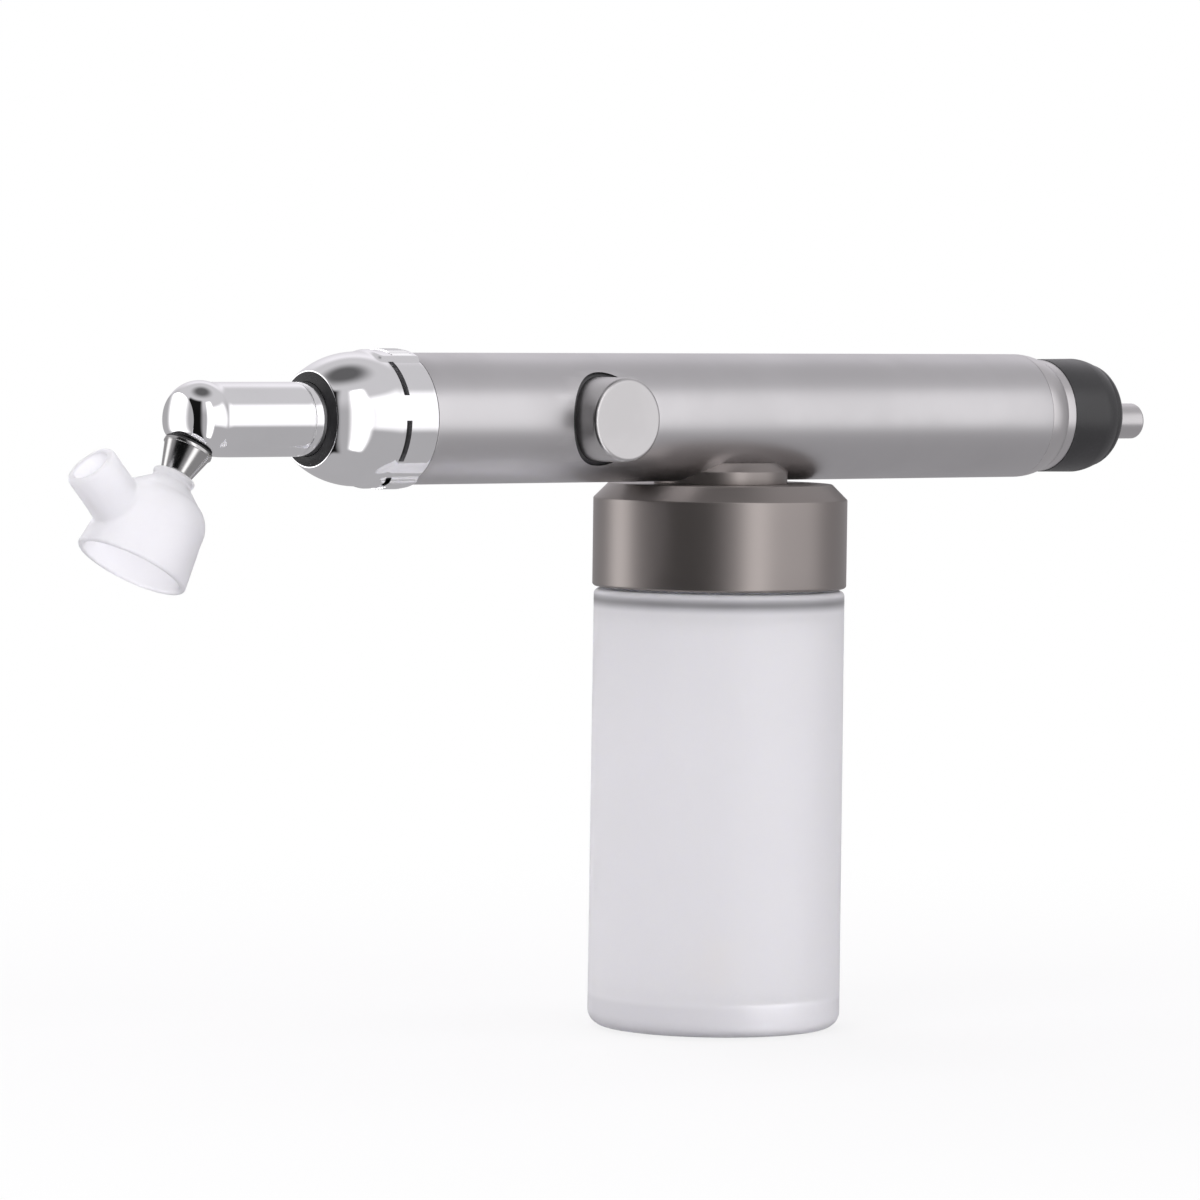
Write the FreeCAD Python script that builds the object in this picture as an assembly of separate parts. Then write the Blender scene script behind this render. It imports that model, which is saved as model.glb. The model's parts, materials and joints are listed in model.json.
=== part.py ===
import FreeCAD, Part
import math
import os

"""Hand-held air spray gun: a round barrel over a screw-on jar, with a turning head and a splash guard.

Frame, in millimetres: the origin is the centre of the jar's foot, +Z is up, +X runs back along the
barrel to the air inlet, and the push button faces -Y. The gun stands on its jar.
"""

Vector = FreeCAD.Vector
X_AXIS = Vector(1, 0, 0)
Y_AXIS = Vector(0, 1, 0)
Z_AXIS = Vector(0, 0, 1)

# ---- Fits --------------------------------------------------------------------------------------
slip_fit = 0.05          # radial clearance of a piece that slides or turns in another
seat_gap = 0.05          # faces of two moving pieces that meet at rest
stop_gap = 0.3           # what is left between two pieces at the end of a stroke
overcut = 1.0            # how far a cutting tool runs past the face that it opens

# ---- Jar ---------------------------------------------------------------------------------------
jar_radius = 19.9        # at the foot
jar_draft = 0.15         # how much narrower the side is under the lid
jar_body_height = 68.9   # foot to shoulder
jar_wall = 2.3
jar_base = 5.0
jar_foot_round = 2.5
jar_shoulder_round = 0.9
jar_shoulder_depth = 3.2  # depth of glass under the neck
jar_floor_round = 2.0
neck_step = 3.0          # the neck stands this far inside the foot's radius
neck_height = 13.2
neck_wall = 2.0

# ---- Jar thread --------------------------------------------------------------------------------
thread_pitch = 4.0
thread_turns = 1.75
thread_height = 0.85
thread_clearance = 0.35  # crest of one thread to the wall of the other
thread_foot_width = 1.8
thread_crest_width = 0.7
thread_root = 0.25       # how far a thread is sunk in its wall
thread_drop = 2.5        # rim of the jar to the top of its thread

# ---- Lid and gasket ----------------------------------------------------------------------------
lid_gap = 0.4            # jar shoulder to lid edge
lid_wall = 1.9
lid_plate = 2.4
lid_chamfer = 2.4
lid_edge = 0.3
gasket_thickness = 1.0
gasket_margin = 0.3      # gasket edge to lid wall
vent_radius = 0.5
vent_reach = 13.4        # distance of the vent from the jar's axis
vent_angle = 50.0        # from +X towards +Y

# ---- Saddle between lid and barrel -------------------------------------------------------------
saddle_web = 0.4         # thickness under the barrel's lowest line
saddle_margin = 0.5      # saddle radius beyond the barrel's
saddle_side = 2.0        # upright side
saddle_chamfer = 1.4

# ---- Barrel ------------------------------------------------------------------------------------
barrel_radius = 10.0
barrel_wall = 1.8
barrel_front = -63.4
barrel_rear = 61.8

# ---- Rear collar, cap and hose spigot ----------------------------------------------------------
collar_shoulder = 4.1    # length of the rounded shoulder behind the barrel
collar_shoulder_bulge = 0.22
collar_band = 1.7        # straight band behind the shoulder
collar_radius = 9.1
collar_plug = 10.0       # length of the collar's plug inside the barrel
collar_stub = 3.5
collar_stub_radius = 7.0
cap_front_radius = 9.2
cap_band = 7.0           # length of the cap's straight band
cap_band_radius = 9.28
cap_step = 2.9           # length of the rounded step behind the band
cap_step_bulge = 0.15
cap_dome_radius = 8.5
cap_dome = 3.9           # depth of the dome, measured to its centre
cap_flat_angle = 60.0    # where the dome gives way to a flat end
spigot_radius = 2.9      # where the hose goes on
spigot_root_radius = 3.3  # inside the cap
spigot_bore = 1.8
spigot_drop = 1.0        # spigot axis below the barrel's
spigot_reach = 21.2      # collar to the open end
spigot_plug = 8.0        # length inside the collar
spigot_flange_radius = 5.0
spigot_flange = 1.5
spigot_round = 0.6
filter_length = 3.4
inlet_gallery = 2.4      # free space in front of the filter

# ---- Air and fluid lines inside the barrel ------------------------------------------------------
line_radius = 1.2
line_bore = 0.7
line_cover = 1.1         # metal between a line's hole and the outside of a block
line_angle = 60.0        # from +Y towards +Z for air, towards -Z for fluid
line_socket = 3.0        # how deep a line's end sits in its block
drill_radius = 0.7
ring_cord = 0.8          # thickness of the small sealing rings

# ---- Manifold block over the jar ----------------------------------------------------------------
manifold_length = 18.0
bolt_radius = 3.0
bolt_bore = 1.0
bolt_reach = 4.0         # shank inside the manifold block
bolt_chamber = 1.8       # free space over the shank
bolt_head = 3.0
bolt_across_flats = 9.0
washer_thickness = 0.8
washer_radius = 5.5
pickup_radius = 1.5
pickup_bore = 0.9
pickup_socket = 2.6      # how deep the tube sits in the bolt's head
strainer_radius = 2.4
strainer_length = 6.5
strainer_lift = 1.5      # strainer to jar floor
strainer_floor = 0.8
strainer_slot = 0.6
strainer_slot_count = 6

# ---- Push-button valve --------------------------------------------------------------------------
button_x = -30.45
button_radius = 6.5
button_proud = 4.4       # button face beyond the barrel's side
button_round = 0.7
button_face = 2.0
button_skirt = 1.4
button_travel = 2.2
boss_radius = 2.3
boss_depth = 2.0
guide_wall = 0.6
guide_recess = 0.4       # guide's edge below the barrel's skin
valve_half_length = 14.0
plug_radius = 2.6
plug_length = 1.4
plug_recess = 0.2
chamber_radius = 2.2
poppet_radius = 1.85
poppet_head = 1.0
poppet_pad = 0.6
gallery_radius = 1.7
gallery_length = 1.8
stem_radius = 1.2
stem_guide = 2.0
stem_grip = 2.6          # stem length inside the button's boss
spring_wire = 0.6
spring_radius = 3.6      # to the wire's centre
spring_turns = 5.0
spring_steps = 12        # points on each turn of the coil

# ---- Nose: socket, bush, sleeve, cap and seal ----------------------------------------------------
nose_step = 0.05         # cap radius beyond the barrel's
nose_rear = -63.5
nose_band = 6.3          # length of the cap's straight band
nose_length = 16.9
nose_rim_radius = 7.35
nose_rim_lip = 0.25
nose_swell = 1.05        # how far the ogive bulges beyond a straight cone
nose_wall = 0.85
sleeve_wall = 0.4
sleeve_length = 8.3
socket_plug = 11.4       # length of the socket's plug inside the barrel
socket_front_wall = 0.7
bush_wall = 1.0
bush_front = -77.5
bush_rear = -70.2
seal_proud = 0.6
slot_count = 6
slot_width = 1.0
slot_arc = 38.0
slot_phase = 41.0        # centre of one slot, from -Y towards +Z
slot_setback = 5.55      # cap's rear edge to the centre of the slots
pad_rise = 0.45
pad_half_angle = 27.6
pad_length = 6.9
pad_ramp = 1.8

# ---- Turning head --------------------------------------------------------------------------------
neck_radius = 5.6
neck_flange_rise = 1.0
neck_flange = 1.9
tail_radius = 4.6        # rear end of the head, which carries the rings
tail_length = 4.2
tail_ring_cord = 0.9
tail_ring_pitch = 1.9
tail_chamber = 0.9       # air space behind the head
head_end = -104.8
head_end_radius = 4.05
head_round = 6.0         # length of the rounded end
head_round_bulge = 0.5
head_groove_x = -83.1
head_groove_width = 0.3
head_groove_depth = 0.15
head_bore = 2.6
head_bore_end = -95.6
head_tube_radius = 1.5
head_tube_bore = 0.9
head_tube_seat = 3.4
spigot_tube_bore = 0.45
spigot_tube_socket = 4.5
spigot_tube_overlap = 5.0

# ---- Nozzle --------------------------------------------------------------------------------------
nozzle_x = -100.0        # where the nozzle's axis crosses the barrel's
nozzle_tilt = 30.0       # from straight down towards -X
nozzle_seat = 4.4        # barrel axis to the seat, along the nozzle
nozzle_seal_thickness = 0.3
nozzle_seal_radius = 3.7
nozzle_flange_radius = 3.8
nozzle_flange = 0.5
nozzle_cone_radius = 3.65
nozzle_cone_end_radius = 2.35
nozzle_cone = 4.15
nozzle_shank_radius = 2.4
nozzle_shank = 1.9
nozzle_stem_radius = 2.1
nozzle_ridge_rise = 0.2
nozzle_ridge = 0.5
nozzle_tip = 0.9
nozzle_tip_radius = 1.3
nozzle_bore = 1.4
nozzle_orifice = 0.9
fluid_tip_radius = 0.55
fluid_tip_bore = 0.25
fluid_tip_proud = 0.3

# ---- Guard cup -----------------------------------------------------------------------------------
cup_lip_half = 0.45      # half the thickness of the lip bead
cup_lip_radius = 3.3
cup_lip_waist = 3.05
cup_neck = 2.25          # length of the hole that grips the nozzle
cup_wall = 0.95
cup_cone_radius = 5.4    # where the cone under the lip turns into the dome
cup_cone = 2.9
cup_dome_radius = 7.85
cup_dome = 7.4
cup_dome_swell = 0.55    # how far the dome bulges beyond its chord
cup_rim_radius = 8.65
cup_depth = 15.2
spout_drop = 10.7        # lip to where the spout's axis meets the cup's
spout_tilt = 40.4        # from straight up towards -X
spout_root_radius = 4.35  # where the spout's taper starts, inside the cup
spout_start = 3.0        # from the cup's axis to the start of the taper
spout_radius = 4.0
spout_bore = 2.85
spout_length = 14.8
spout_straight = 5.3     # length of the straight end that a hose goes over
spout_round = 0.5

# ---- Levels, worked out from the sizes above -----------------------------------------------------
jar_rim_z = jar_body_height + neck_height
lid_bottom_z = jar_body_height + lid_gap
lid_ceiling_z = jar_rim_z + gasket_thickness + 2 * seat_gap
lid_top_z = lid_ceiling_z + lid_plate
axis_z = lid_top_z + saddle_web + barrel_radius

# ---- Radii, worked out from the sizes above ------------------------------------------------------
jar_neck_radius = jar_radius - neck_step
jar_mouth_radius = jar_neck_radius - neck_wall
lid_bore = jar_neck_radius + thread_height + thread_clearance
lid_radius = lid_bore + lid_wall
barrel_bore = barrel_radius - barrel_wall
block_radius = barrel_bore - slip_fit
line_offset = block_radius - line_cover - line_radius
line_y = line_offset * math.cos(math.radians(line_angle))
line_rise = line_offset * math.sin(math.radians(line_angle))
bush_bore = neck_radius + slip_fit
bush_radius = bush_bore + bush_wall
socket_bore = bush_radius + slip_fit
socket_front_radius = socket_bore + socket_front_wall
nose_radius = barrel_radius + nose_step
sleeve_radius = nose_radius - nose_wall - slip_fit
socket_radius = sleeve_radius - sleeve_wall - slip_fit
tail_bore = tail_radius + slip_fit

# ---- Stations along the barrel -------------------------------------------------------------------
collar_rear = barrel_rear + collar_shoulder + collar_band
collar_front = barrel_rear - collar_plug
stub_rear = collar_rear + collar_stub
cap_rear = collar_rear + cap_band + cap_step + cap_dome * math.sin(math.radians(cap_flat_angle))
spigot_front = stub_rear - spigot_flange - spigot_plug
filter_front = spigot_front - filter_length
manifold_front = -manifold_length / 2
manifold_rear = manifold_length / 2
valve_front = button_x - valve_half_length
valve_rear = button_x + valve_half_length
socket_rear = barrel_front + socket_plug
socket_step = nose_rear - sleeve_length
flange_front = bush_rear + seat_gap
flange_rear = flange_front + neck_flange
tail_floor = flange_rear + seat_gap
tail_rear = flange_rear + tail_length
socket_floor = tail_rear + tail_chamber
nose_front = nose_rear - nose_length

# ---- Stations across the valve, along +Y from the barrel's axis ----------------------------------
plug_outer = math.sqrt(block_radius ** 2 - plug_radius ** 2) - plug_recess
chamber_end = plug_outer - plug_length
seat_y = chamber_end - (seat_gap + poppet_pad + poppet_head + button_travel + stop_gap)
gallery_y = seat_y - gallery_length
valve_floor_y = gallery_y - stem_guide
button_bottom_y = valve_floor_y - button_travel - stop_gap
button_face_y = -(barrel_radius + button_proud)
guide_bore = button_radius + slip_fit
guide_radius = guide_bore + guide_wall

# ---- Stations along the nozzle, from the barrel's axis -------------------------------------------
flange_top = nozzle_seat + nozzle_seal_thickness
cone_top = flange_top + nozzle_flange
cone_end = cone_top + nozzle_cone
cup_lip = cone_end + seat_gap + cup_lip_half
stem_end = cup_lip + cup_neck + stop_gap + nozzle_ridge
tip_end = stem_end + nozzle_tip

# ---- Places and directions -----------------------------------------------------------------------
axis_origin = Vector(0, 0, axis_z)
spigot_origin = Vector(0, 0, axis_z - spigot_drop)
button_origin = Vector(button_x, 0, axis_z)
nozzle_origin = Vector(nozzle_x, 0, axis_z)
tilt = math.radians(nozzle_tilt)
spray_way = Vector(-math.sin(tilt), 0, -math.cos(tilt))
lean = math.radians(spout_tilt)
spout_way = Vector(-math.sin(lean), 0, math.cos(lean))
spout_origin = nozzle_origin + spray_way * (cup_lip + spout_drop)


# ---- Shape helpers -------------------------------------------------------------------------------
def bend(radius, height):
    """A point that an arc passes through, between its two neighbours in an outline."""
    return (radius, height, "bend")


def turned(outline):
    """Spin a closed outline of (radius, height) points about the Z axis."""
    loop = list(outline) + [outline[0]]
    points = [Vector(point[0], 0, point[1]) for point in loop]
    edges = []
    index = 0
    while index < len(loop) - 1:
        if len(loop[index + 1]) == 3:
            edges.append(Part.Arc(points[index], points[index + 1], points[index + 2]).toShape())
            index += 2
        else:
            edges.append(Part.makeLine(points[index], points[index + 1]))
            index += 1
    return Part.Face(Part.Wire(edges)).revolve(Vector(), Z_AXIS, 360)


def rod(radius, low, high):
    """A plain cylinder on the Z axis between two heights."""
    return Part.makeCylinder(radius, high - low, Vector(0, 0, low))


def tube(radius, bore, low, high):
    """A cylinder with a straight bore on the Z axis."""
    return rod(radius, low, high).cut(rod(bore, low - overcut, high + overcut))


def ring(bore, cord, height):
    """A round sealing ring on the Z axis, with its inner edge at the bore."""
    return Part.makeTorus(bore + cord / 2, cord / 2, Vector(0, 0, height))


def placed(shape, origin, way):
    """Move a shape from the Z axis to another axis, with height 0 at the origin."""
    moved = shape.copy()
    turn = FreeCAD.Placement(origin, FreeCAD.Rotation(Z_AXIS, way))
    moved.Placement = turn.multiply(moved.Placement)
    return moved


def on_barrel(shape):
    """Lay a turned shape along the barrel: its heights become places along X."""
    return placed(shape, axis_origin, X_AXIS)


def on_spigot(shape):
    """Lay a turned shape along the hose spigot, a little below the barrel's axis."""
    return placed(shape, spigot_origin, X_AXIS)


def on_button(shape):
    """Lay a turned shape across the barrel: its heights become places along Y."""
    return placed(shape, button_origin, Y_AXIS)


def on_nozzle(shape):
    """Lay a turned shape along the nozzle: its heights become distances from the barrel's axis."""
    return placed(shape, nozzle_origin, spray_way)


def drilled(start, end, radius=drill_radius):
    """A straight drilling between two points."""
    way = end - start
    return Part.makeCylinder(radius, way.Length, start, way)


def line_place(x, side):
    """A point on the air line (side 1) or the fluid line (side -1) inside the barrel."""
    return Vector(x, line_y, axis_z + side * line_rise)


def line_tube(front, rear, side):
    """One straight metal line between two blocks, with its ends in their sockets."""
    solid = tube(line_radius, line_bore, front, rear)
    return placed(solid, line_place(0, side), X_AXIS)


def line_hole(front, rear, side):
    """The hole that a line sits in or passes through."""
    return placed(rod(line_radius + slip_fit, front, rear), line_place(0, side), X_AXIS)


def ring_seat(face, inward, side):
    """The counterbore for a line's sealing ring, at a block's face; inward is 1 towards +X."""
    depth = ring_cord + slip_fit
    low, high = sorted((face, face + inward * depth))
    return placed(rod(line_radius + depth, low, high), line_place(0, side), X_AXIS)


def line_ring(face, inward, side):
    """The sealing ring of a line, just inside a block's face."""
    centre = face + inward * (ring_cord / 2 + slip_fit / 2)
    return placed(ring(line_radius + slip_fit / 2, ring_cord, centre), line_place(0, side), X_AXIS)


def thread_ridge(wall_radius, outward, foot_z, turns):
    """One helical ridge on a wall; outward is 1 for the jar's thread and -1 for the lid's."""
    root = wall_radius - outward * thread_root
    crest = wall_radius + outward * thread_height
    half_foot = thread_foot_width / 2
    half_crest = thread_crest_width / 2
    corners = [(root, -half_foot), (crest, -half_crest), (crest, half_crest), (root, half_foot)]
    corners.append(corners[0])
    section = Part.makePolygon([Vector(radius, 0, height) for radius, height in corners])
    path = Part.makeHelix(thread_pitch, thread_pitch * turns, wall_radius)
    ridge = Part.Wire(path).makePipeShell([section], True, True)
    ridge.translate(Vector(0, 0, foot_z))
    return ridge


# ---- Jar, gasket and lid -------------------------------------------------------------------------
thread_z = jar_rim_z - thread_drop - thread_pitch * thread_turns


def make_jar():
    """Straight glass jar with a heavy base and a threaded neck."""
    top_radius = jar_radius - jar_draft
    inside = jar_radius - jar_wall
    foot_mid = jar_foot_round * (1 - math.sqrt(0.5))
    shoulder_mid = jar_shoulder_round * (1 - math.sqrt(0.5))
    floor_mid = jar_floor_round * (1 - math.sqrt(0.5))
    vault = inside - jar_mouth_radius
    vault_z = jar_body_height - jar_shoulder_depth
    glass = turned([
        (0, 0),
        (jar_radius - jar_foot_round, 0),
        bend(jar_radius - foot_mid, foot_mid),
        (jar_radius, jar_foot_round),
        (top_radius, jar_body_height - jar_shoulder_round),
        bend(top_radius - shoulder_mid, jar_body_height - shoulder_mid),
        (top_radius - jar_shoulder_round, jar_body_height),
        (jar_neck_radius, jar_body_height),
        (jar_neck_radius, jar_rim_z),
        (jar_mouth_radius, jar_rim_z),
        (jar_mouth_radius, vault_z),
        bend(jar_mouth_radius + vault * math.sqrt(0.5), vault_z - vault * (1 - math.sqrt(0.5))),
        (inside, vault_z - vault),
        (inside, jar_base + jar_floor_round),
        bend(inside - floor_mid, jar_base + floor_mid),
        (inside - jar_floor_round, jar_base),
        (0, jar_base),
    ])
    return glass.fuse(thread_ridge(jar_neck_radius, 1, thread_z, thread_turns)).removeSplitter()


def make_lid_gasket():
    """Flat ring between the jar's rim and the lid."""
    low = jar_rim_z + seat_gap
    return tube(lid_bore - gasket_margin, jar_mouth_radius, low, low + gasket_thickness)


def make_lid():
    """Screw lid with a chamfered top, an inner thread, a bolt hole and an air vent."""
    bolt_hole = bolt_radius + slip_fit
    shell = turned([
        (lid_bore, lid_bottom_z),
        (lid_radius - lid_edge, lid_bottom_z),
        (lid_radius, lid_bottom_z + lid_edge),
        (lid_radius, lid_top_z - lid_chamfer),
        (lid_radius - lid_chamfer, lid_top_z),
        (bolt_hole, lid_top_z),
        (bolt_hole, lid_ceiling_z),
        (lid_bore, lid_ceiling_z),
    ])
    vent = rod(vent_radius, lid_ceiling_z - overcut, lid_top_z + overcut)
    angle = math.radians(vent_angle)
    vent.translate(Vector(vent_reach * math.cos(angle), vent_reach * math.sin(angle), 0))
    # Half a pitch above the jar's thread, and ending level with it.
    ridge = thread_ridge(lid_bore, -1, thread_z + thread_pitch / 2, thread_turns - 0.5)
    return shell.cut(vent).fuse(ridge).removeSplitter()


def make_saddle():
    """Round boss on the lid, hollowed on top to carry the barrel."""
    radius = barrel_radius + saddle_margin
    side_z = lid_top_z + saddle_side
    boss = turned([
        (bolt_radius + slip_fit, lid_top_z),
        (radius, lid_top_z),
        (radius, side_z),
        (radius - saddle_chamfer, side_z + saddle_chamfer),
        (bolt_radius + slip_fit, side_z + saddle_chamfer),
    ])
    return boss.cut(on_barrel(rod(barrel_radius, -2 * radius, 2 * radius)))


# ---- Fluid feed from the jar ---------------------------------------------------------------------
bolt_head_top = lid_ceiling_z - washer_thickness
bolt_head_bottom = bolt_head_top - bolt_head
bolt_end = axis_z - barrel_bore + bolt_reach
strainer_bottom = jar_base + strainer_lift


def make_feed_bolt():
    """Hollow bolt that clamps lid, saddle and barrel to the manifold and carries the fluid."""
    corner = bolt_across_flats / math.sqrt(3)
    turns = [math.radians(angle) for angle in range(0, 361, 60)]
    corners = [Vector(corner * math.cos(turn), corner * math.sin(turn), bolt_head_bottom) for turn in turns]
    head = Part.Face(Part.makePolygon(corners)).extrude(Vector(0, 0, bolt_head))
    bolt = head.fuse(rod(bolt_radius, bolt_head_top, bolt_end))
    bolt = bolt.cut(rod(bolt_bore, bolt_head_bottom, bolt_end + overcut))
    socket_top = bolt_head_bottom + pickup_socket
    return bolt.cut(rod(pickup_radius + slip_fit, bolt_head_bottom - overcut, socket_top))


def make_feed_washer():
    """Sealing washer under the bolt's head."""
    return tube(washer_radius, bolt_radius + slip_fit, bolt_head_top, lid_ceiling_z)


def make_pickup_tube():
    """Straight tube that draws fluid from the bottom of the jar."""
    low = strainer_bottom + strainer_floor + strainer_length / 2
    return tube(pickup_radius, pickup_bore, low, bolt_head_bottom + pickup_socket)


def make_pickup_strainer():
    """Slotted metal cap on the lower end of the pickup tube."""
    top = strainer_bottom + strainer_length
    body = rod(strainer_radius, strainer_bottom, top)
    body = body.cut(rod(pickup_radius, strainer_bottom + strainer_floor, top + overcut))
    slot_height = strainer_length / 2 - strainer_floor
    slot = Part.makeBox(
        strainer_radius + overcut, strainer_slot, slot_height,
        Vector(0, -strainer_slot / 2, strainer_bottom + strainer_floor),
    )
    for index in range(strainer_slot_count):
        cutter = slot.copy()
        cutter.rotate(Vector(), Z_AXIS, index * 360 / strainer_slot_count)
        body = body.cut(cutter)
    return body


def make_manifold_block():
    """Block over the jar: it takes the bolt's thread and turns the fluid forward."""
    block = on_barrel(rod(block_radius, manifold_front, manifold_rear))
    chamber_top = bolt_end + bolt_chamber
    block = block.cut(rod(bolt_radius, axis_z - barrel_radius, bolt_end))
    block = block.cut(rod(bolt_radius - line_bore, bolt_end - overcut, chamber_top))
    block = block.cut(line_hole(manifold_front - overcut, manifold_rear + overcut, 1))
    socket_end = manifold_front + line_socket
    block = block.cut(line_hole(manifold_front - overcut, socket_end, -1))
    block = block.cut(ring_seat(manifold_front, 1, -1))
    return block.cut(drilled(line_place(socket_end, -1), Vector(0, 0, chamber_top - drill_radius)))


# ---- Barrel and its lines ------------------------------------------------------------------------
def make_barrel():
    """Main tube, with the button's hole and the feed bolt's hole."""
    skin = on_barrel(tube(barrel_radius, barrel_bore, barrel_front, barrel_rear))
    skin = skin.cut(on_button(rod(guide_radius + slip_fit, -2 * barrel_radius, 0)))
    return skin.cut(rod(bolt_radius + slip_fit, axis_z - barrel_radius - overcut, axis_z))


def make_rear_air_line():
    """Air line from the rear collar to the valve, through the manifold block."""
    return line_tube(valve_rear - line_socket, collar_front + line_socket, 1)


def make_front_air_line():
    """Air line from the valve to the front socket."""
    return line_tube(socket_rear - line_socket, valve_front + line_socket, 1)


def make_fluid_line():
    """Fluid line from the manifold block to the front socket, through the valve body."""
    return line_tube(socket_rear - line_socket, manifold_front + line_socket, -1)


def make_line_rings():
    """Sealing rings where the three lines enter their blocks."""
    seats = [
        (collar_front, 1, 1),
        (valve_rear, -1, 1),
        (valve_front, 1, 1),
        (socket_rear, -1, 1),
        (manifold_front, 1, -1),
        (socket_rear, -1, -1),
    ]
    return Part.makeCompound([line_ring(face, inward, side) for face, inward, side in seats])


# ---- Rear end ------------------------------------------------------------------------------------
spigot_ring_x = collar_rear - ring_cord


def make_rear_collar():
    """Metal collar with a rounded shoulder, which plugs the barrel and holds the hose spigot."""
    shoulder_end = barrel_rear + collar_shoulder
    middle_radius = (barrel_radius + collar_radius) / 2 + collar_shoulder_bulge
    collar = on_barrel(turned([
        (0, collar_front),
        (block_radius, collar_front),
        (block_radius, barrel_rear),
        (barrel_radius, barrel_rear),
        bend(middle_radius, barrel_rear + collar_shoulder / 2),
        (collar_radius, shoulder_end),
        (collar_radius, collar_rear),
        (collar_stub_radius, collar_rear),
        (collar_stub_radius, stub_rear),
        (0, stub_rear),
    ]))
    flange_seat = stub_rear - spigot_flange
    ring_half = ring_cord / 2 + slip_fit
    gallery_front = filter_front - inlet_gallery
    for cutter in (
        rod(spigot_flange_radius + slip_fit, flange_seat, stub_rear + overcut),
        rod(spigot_radius + slip_fit, filter_front, flange_seat + overcut),
        rod(spigot_radius - line_bore, gallery_front, filter_front + overcut),
        rod(spigot_radius + ring_cord + slip_fit, spigot_ring_x - ring_half, spigot_ring_x + ring_half),
    ):
        collar = collar.cut(on_spigot(cutter))
    socket_end = collar_front + line_socket
    collar = collar.cut(line_hole(collar_front - overcut, socket_end, 1))
    collar = collar.cut(ring_seat(collar_front, 1, 1))
    gallery = spigot_origin + X_AXIS * (gallery_front + drill_radius)
    return collar.cut(drilled(line_place(socket_end, 1), gallery))


def dome_point(angle, dome_front):
    """A point on the rear cap's elliptical dome; angle 0 is its widest place."""
    turn = math.radians(angle)
    return (cap_dome_radius * math.cos(turn), dome_front + cap_dome * math.sin(turn))


def make_rear_cap():
    """Black end cap: a straight band, a soft step and a dome around the spigot."""
    band_end = collar_rear + cap_band
    step_end = band_end + cap_step
    recess_radius = collar_stub_radius + slip_fit
    cap = on_barrel(turned([
        (recess_radius, collar_rear),
        (cap_front_radius, collar_rear),
        (cap_band_radius, band_end),
        bend((cap_band_radius + cap_dome_radius) / 2 + cap_step_bulge, band_end + cap_step / 2),
        (cap_dome_radius, step_end),
        bend(*dome_point(cap_flat_angle / 4, step_end)),
        dome_point(cap_flat_angle / 2, step_end),
        bend(*dome_point(cap_flat_angle * 3 / 4, step_end)),
        dome_point(cap_flat_angle, step_end),
        (0, cap_rear),
        (0, stub_rear),
        (recess_radius, stub_rear),
    ]))
    return cap.cut(on_spigot(rod(spigot_root_radius + slip_fit, collar_rear, cap_rear + overcut)))


def make_hose_spigot():
    """Plain tube end that a soft air hose is pushed over."""
    end = collar_rear + spigot_reach
    flange_seat = stub_rear - spigot_flange
    round_mid = spigot_round * (1 - math.sqrt(0.5))
    return on_spigot(turned([
        (spigot_bore, spigot_front),
        (spigot_radius, spigot_front),
        (spigot_radius, flange_seat),
        (spigot_flange_radius, flange_seat),
        (spigot_flange_radius, stub_rear),
        (spigot_root_radius, stub_rear),
        (spigot_root_radius, cap_rear),
        (spigot_radius, cap_rear),
        (spigot_radius, end - spigot_round),
        bend(spigot_radius - round_mid, end - round_mid),
        (spigot_radius - spigot_round, end),
        (spigot_bore, end),
    ]))


def make_spigot_ring():
    """Sealing ring around the spigot, inside the collar."""
    return on_spigot(ring(spigot_radius + slip_fit / 2, ring_cord, spigot_ring_x))


def make_inlet_filter():
    """Sintered plug that keeps dirt out of the valve."""
    return on_spigot(rod(spigot_radius, filter_front, spigot_front))


# ---- Valve and button ----------------------------------------------------------------------------
def make_valve_body():
    """Block with the air valve's bore across it and the fluid line's hole along it."""
    body = on_barrel(rod(block_radius, valve_front, valve_rear))
    ring_half = ring_cord / 2 + slip_fit
    ring_y = valve_floor_y + stem_guide / 2
    for cutter in (
        rod(guide_radius, -2 * block_radius, valve_floor_y),
        rod(stem_radius + slip_fit, valve_floor_y - overcut, gallery_y + overcut),
        rod(stem_radius + ring_cord + 2 * slip_fit, ring_y - ring_half, ring_y + ring_half),
        rod(gallery_radius, gallery_y, seat_y + overcut),
        rod(chamber_radius, seat_y, chamber_end),
        rod(plug_radius + slip_fit, chamber_end, 2 * block_radius),
    ):
        body = body.cut(on_button(cutter))
    body = body.cut(line_hole(valve_front - overcut, valve_rear + overcut, -1))
    body = body.cut(line_hole(valve_rear - line_socket, valve_rear + overcut, 1))
    body = body.cut(line_hole(valve_front - overcut, valve_front + line_socket, 1))
    body = body.cut(ring_seat(valve_rear, -1, 1))
    body = body.cut(ring_seat(valve_front, 1, 1))
    inlet = Vector(button_x, chamber_end - drill_radius, axis_z)
    body = body.cut(drilled(line_place(valve_rear - line_socket, 1), inlet))
    gallery = Vector(button_x, (gallery_y + seat_y) / 2, axis_z)
    turn = gallery - X_AXIS * (valve_half_length / 2)
    body = body.cut(drilled(gallery, turn))
    return body.cut(drilled(turn, line_place(valve_front + line_socket, 1)))


def make_button_guide():
    """Black bush that lines the button's hole and keys the valve body to the barrel."""
    guide = on_button(tube(guide_radius, guide_bore, -2 * barrel_radius, valve_floor_y))
    return guide.common(on_barrel(rod(barrel_radius - guide_recess, valve_front, valve_rear)))


def make_stem_ring():
    """Sealing ring around the valve's stem."""
    return on_button(ring(stem_radius + slip_fit, ring_cord, valve_floor_y + stem_guide / 2))


def make_valve_plug():
    """Screwed plug that closes the valve chamber."""
    return on_button(rod(plug_radius, chamber_end, plug_outer))


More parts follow.
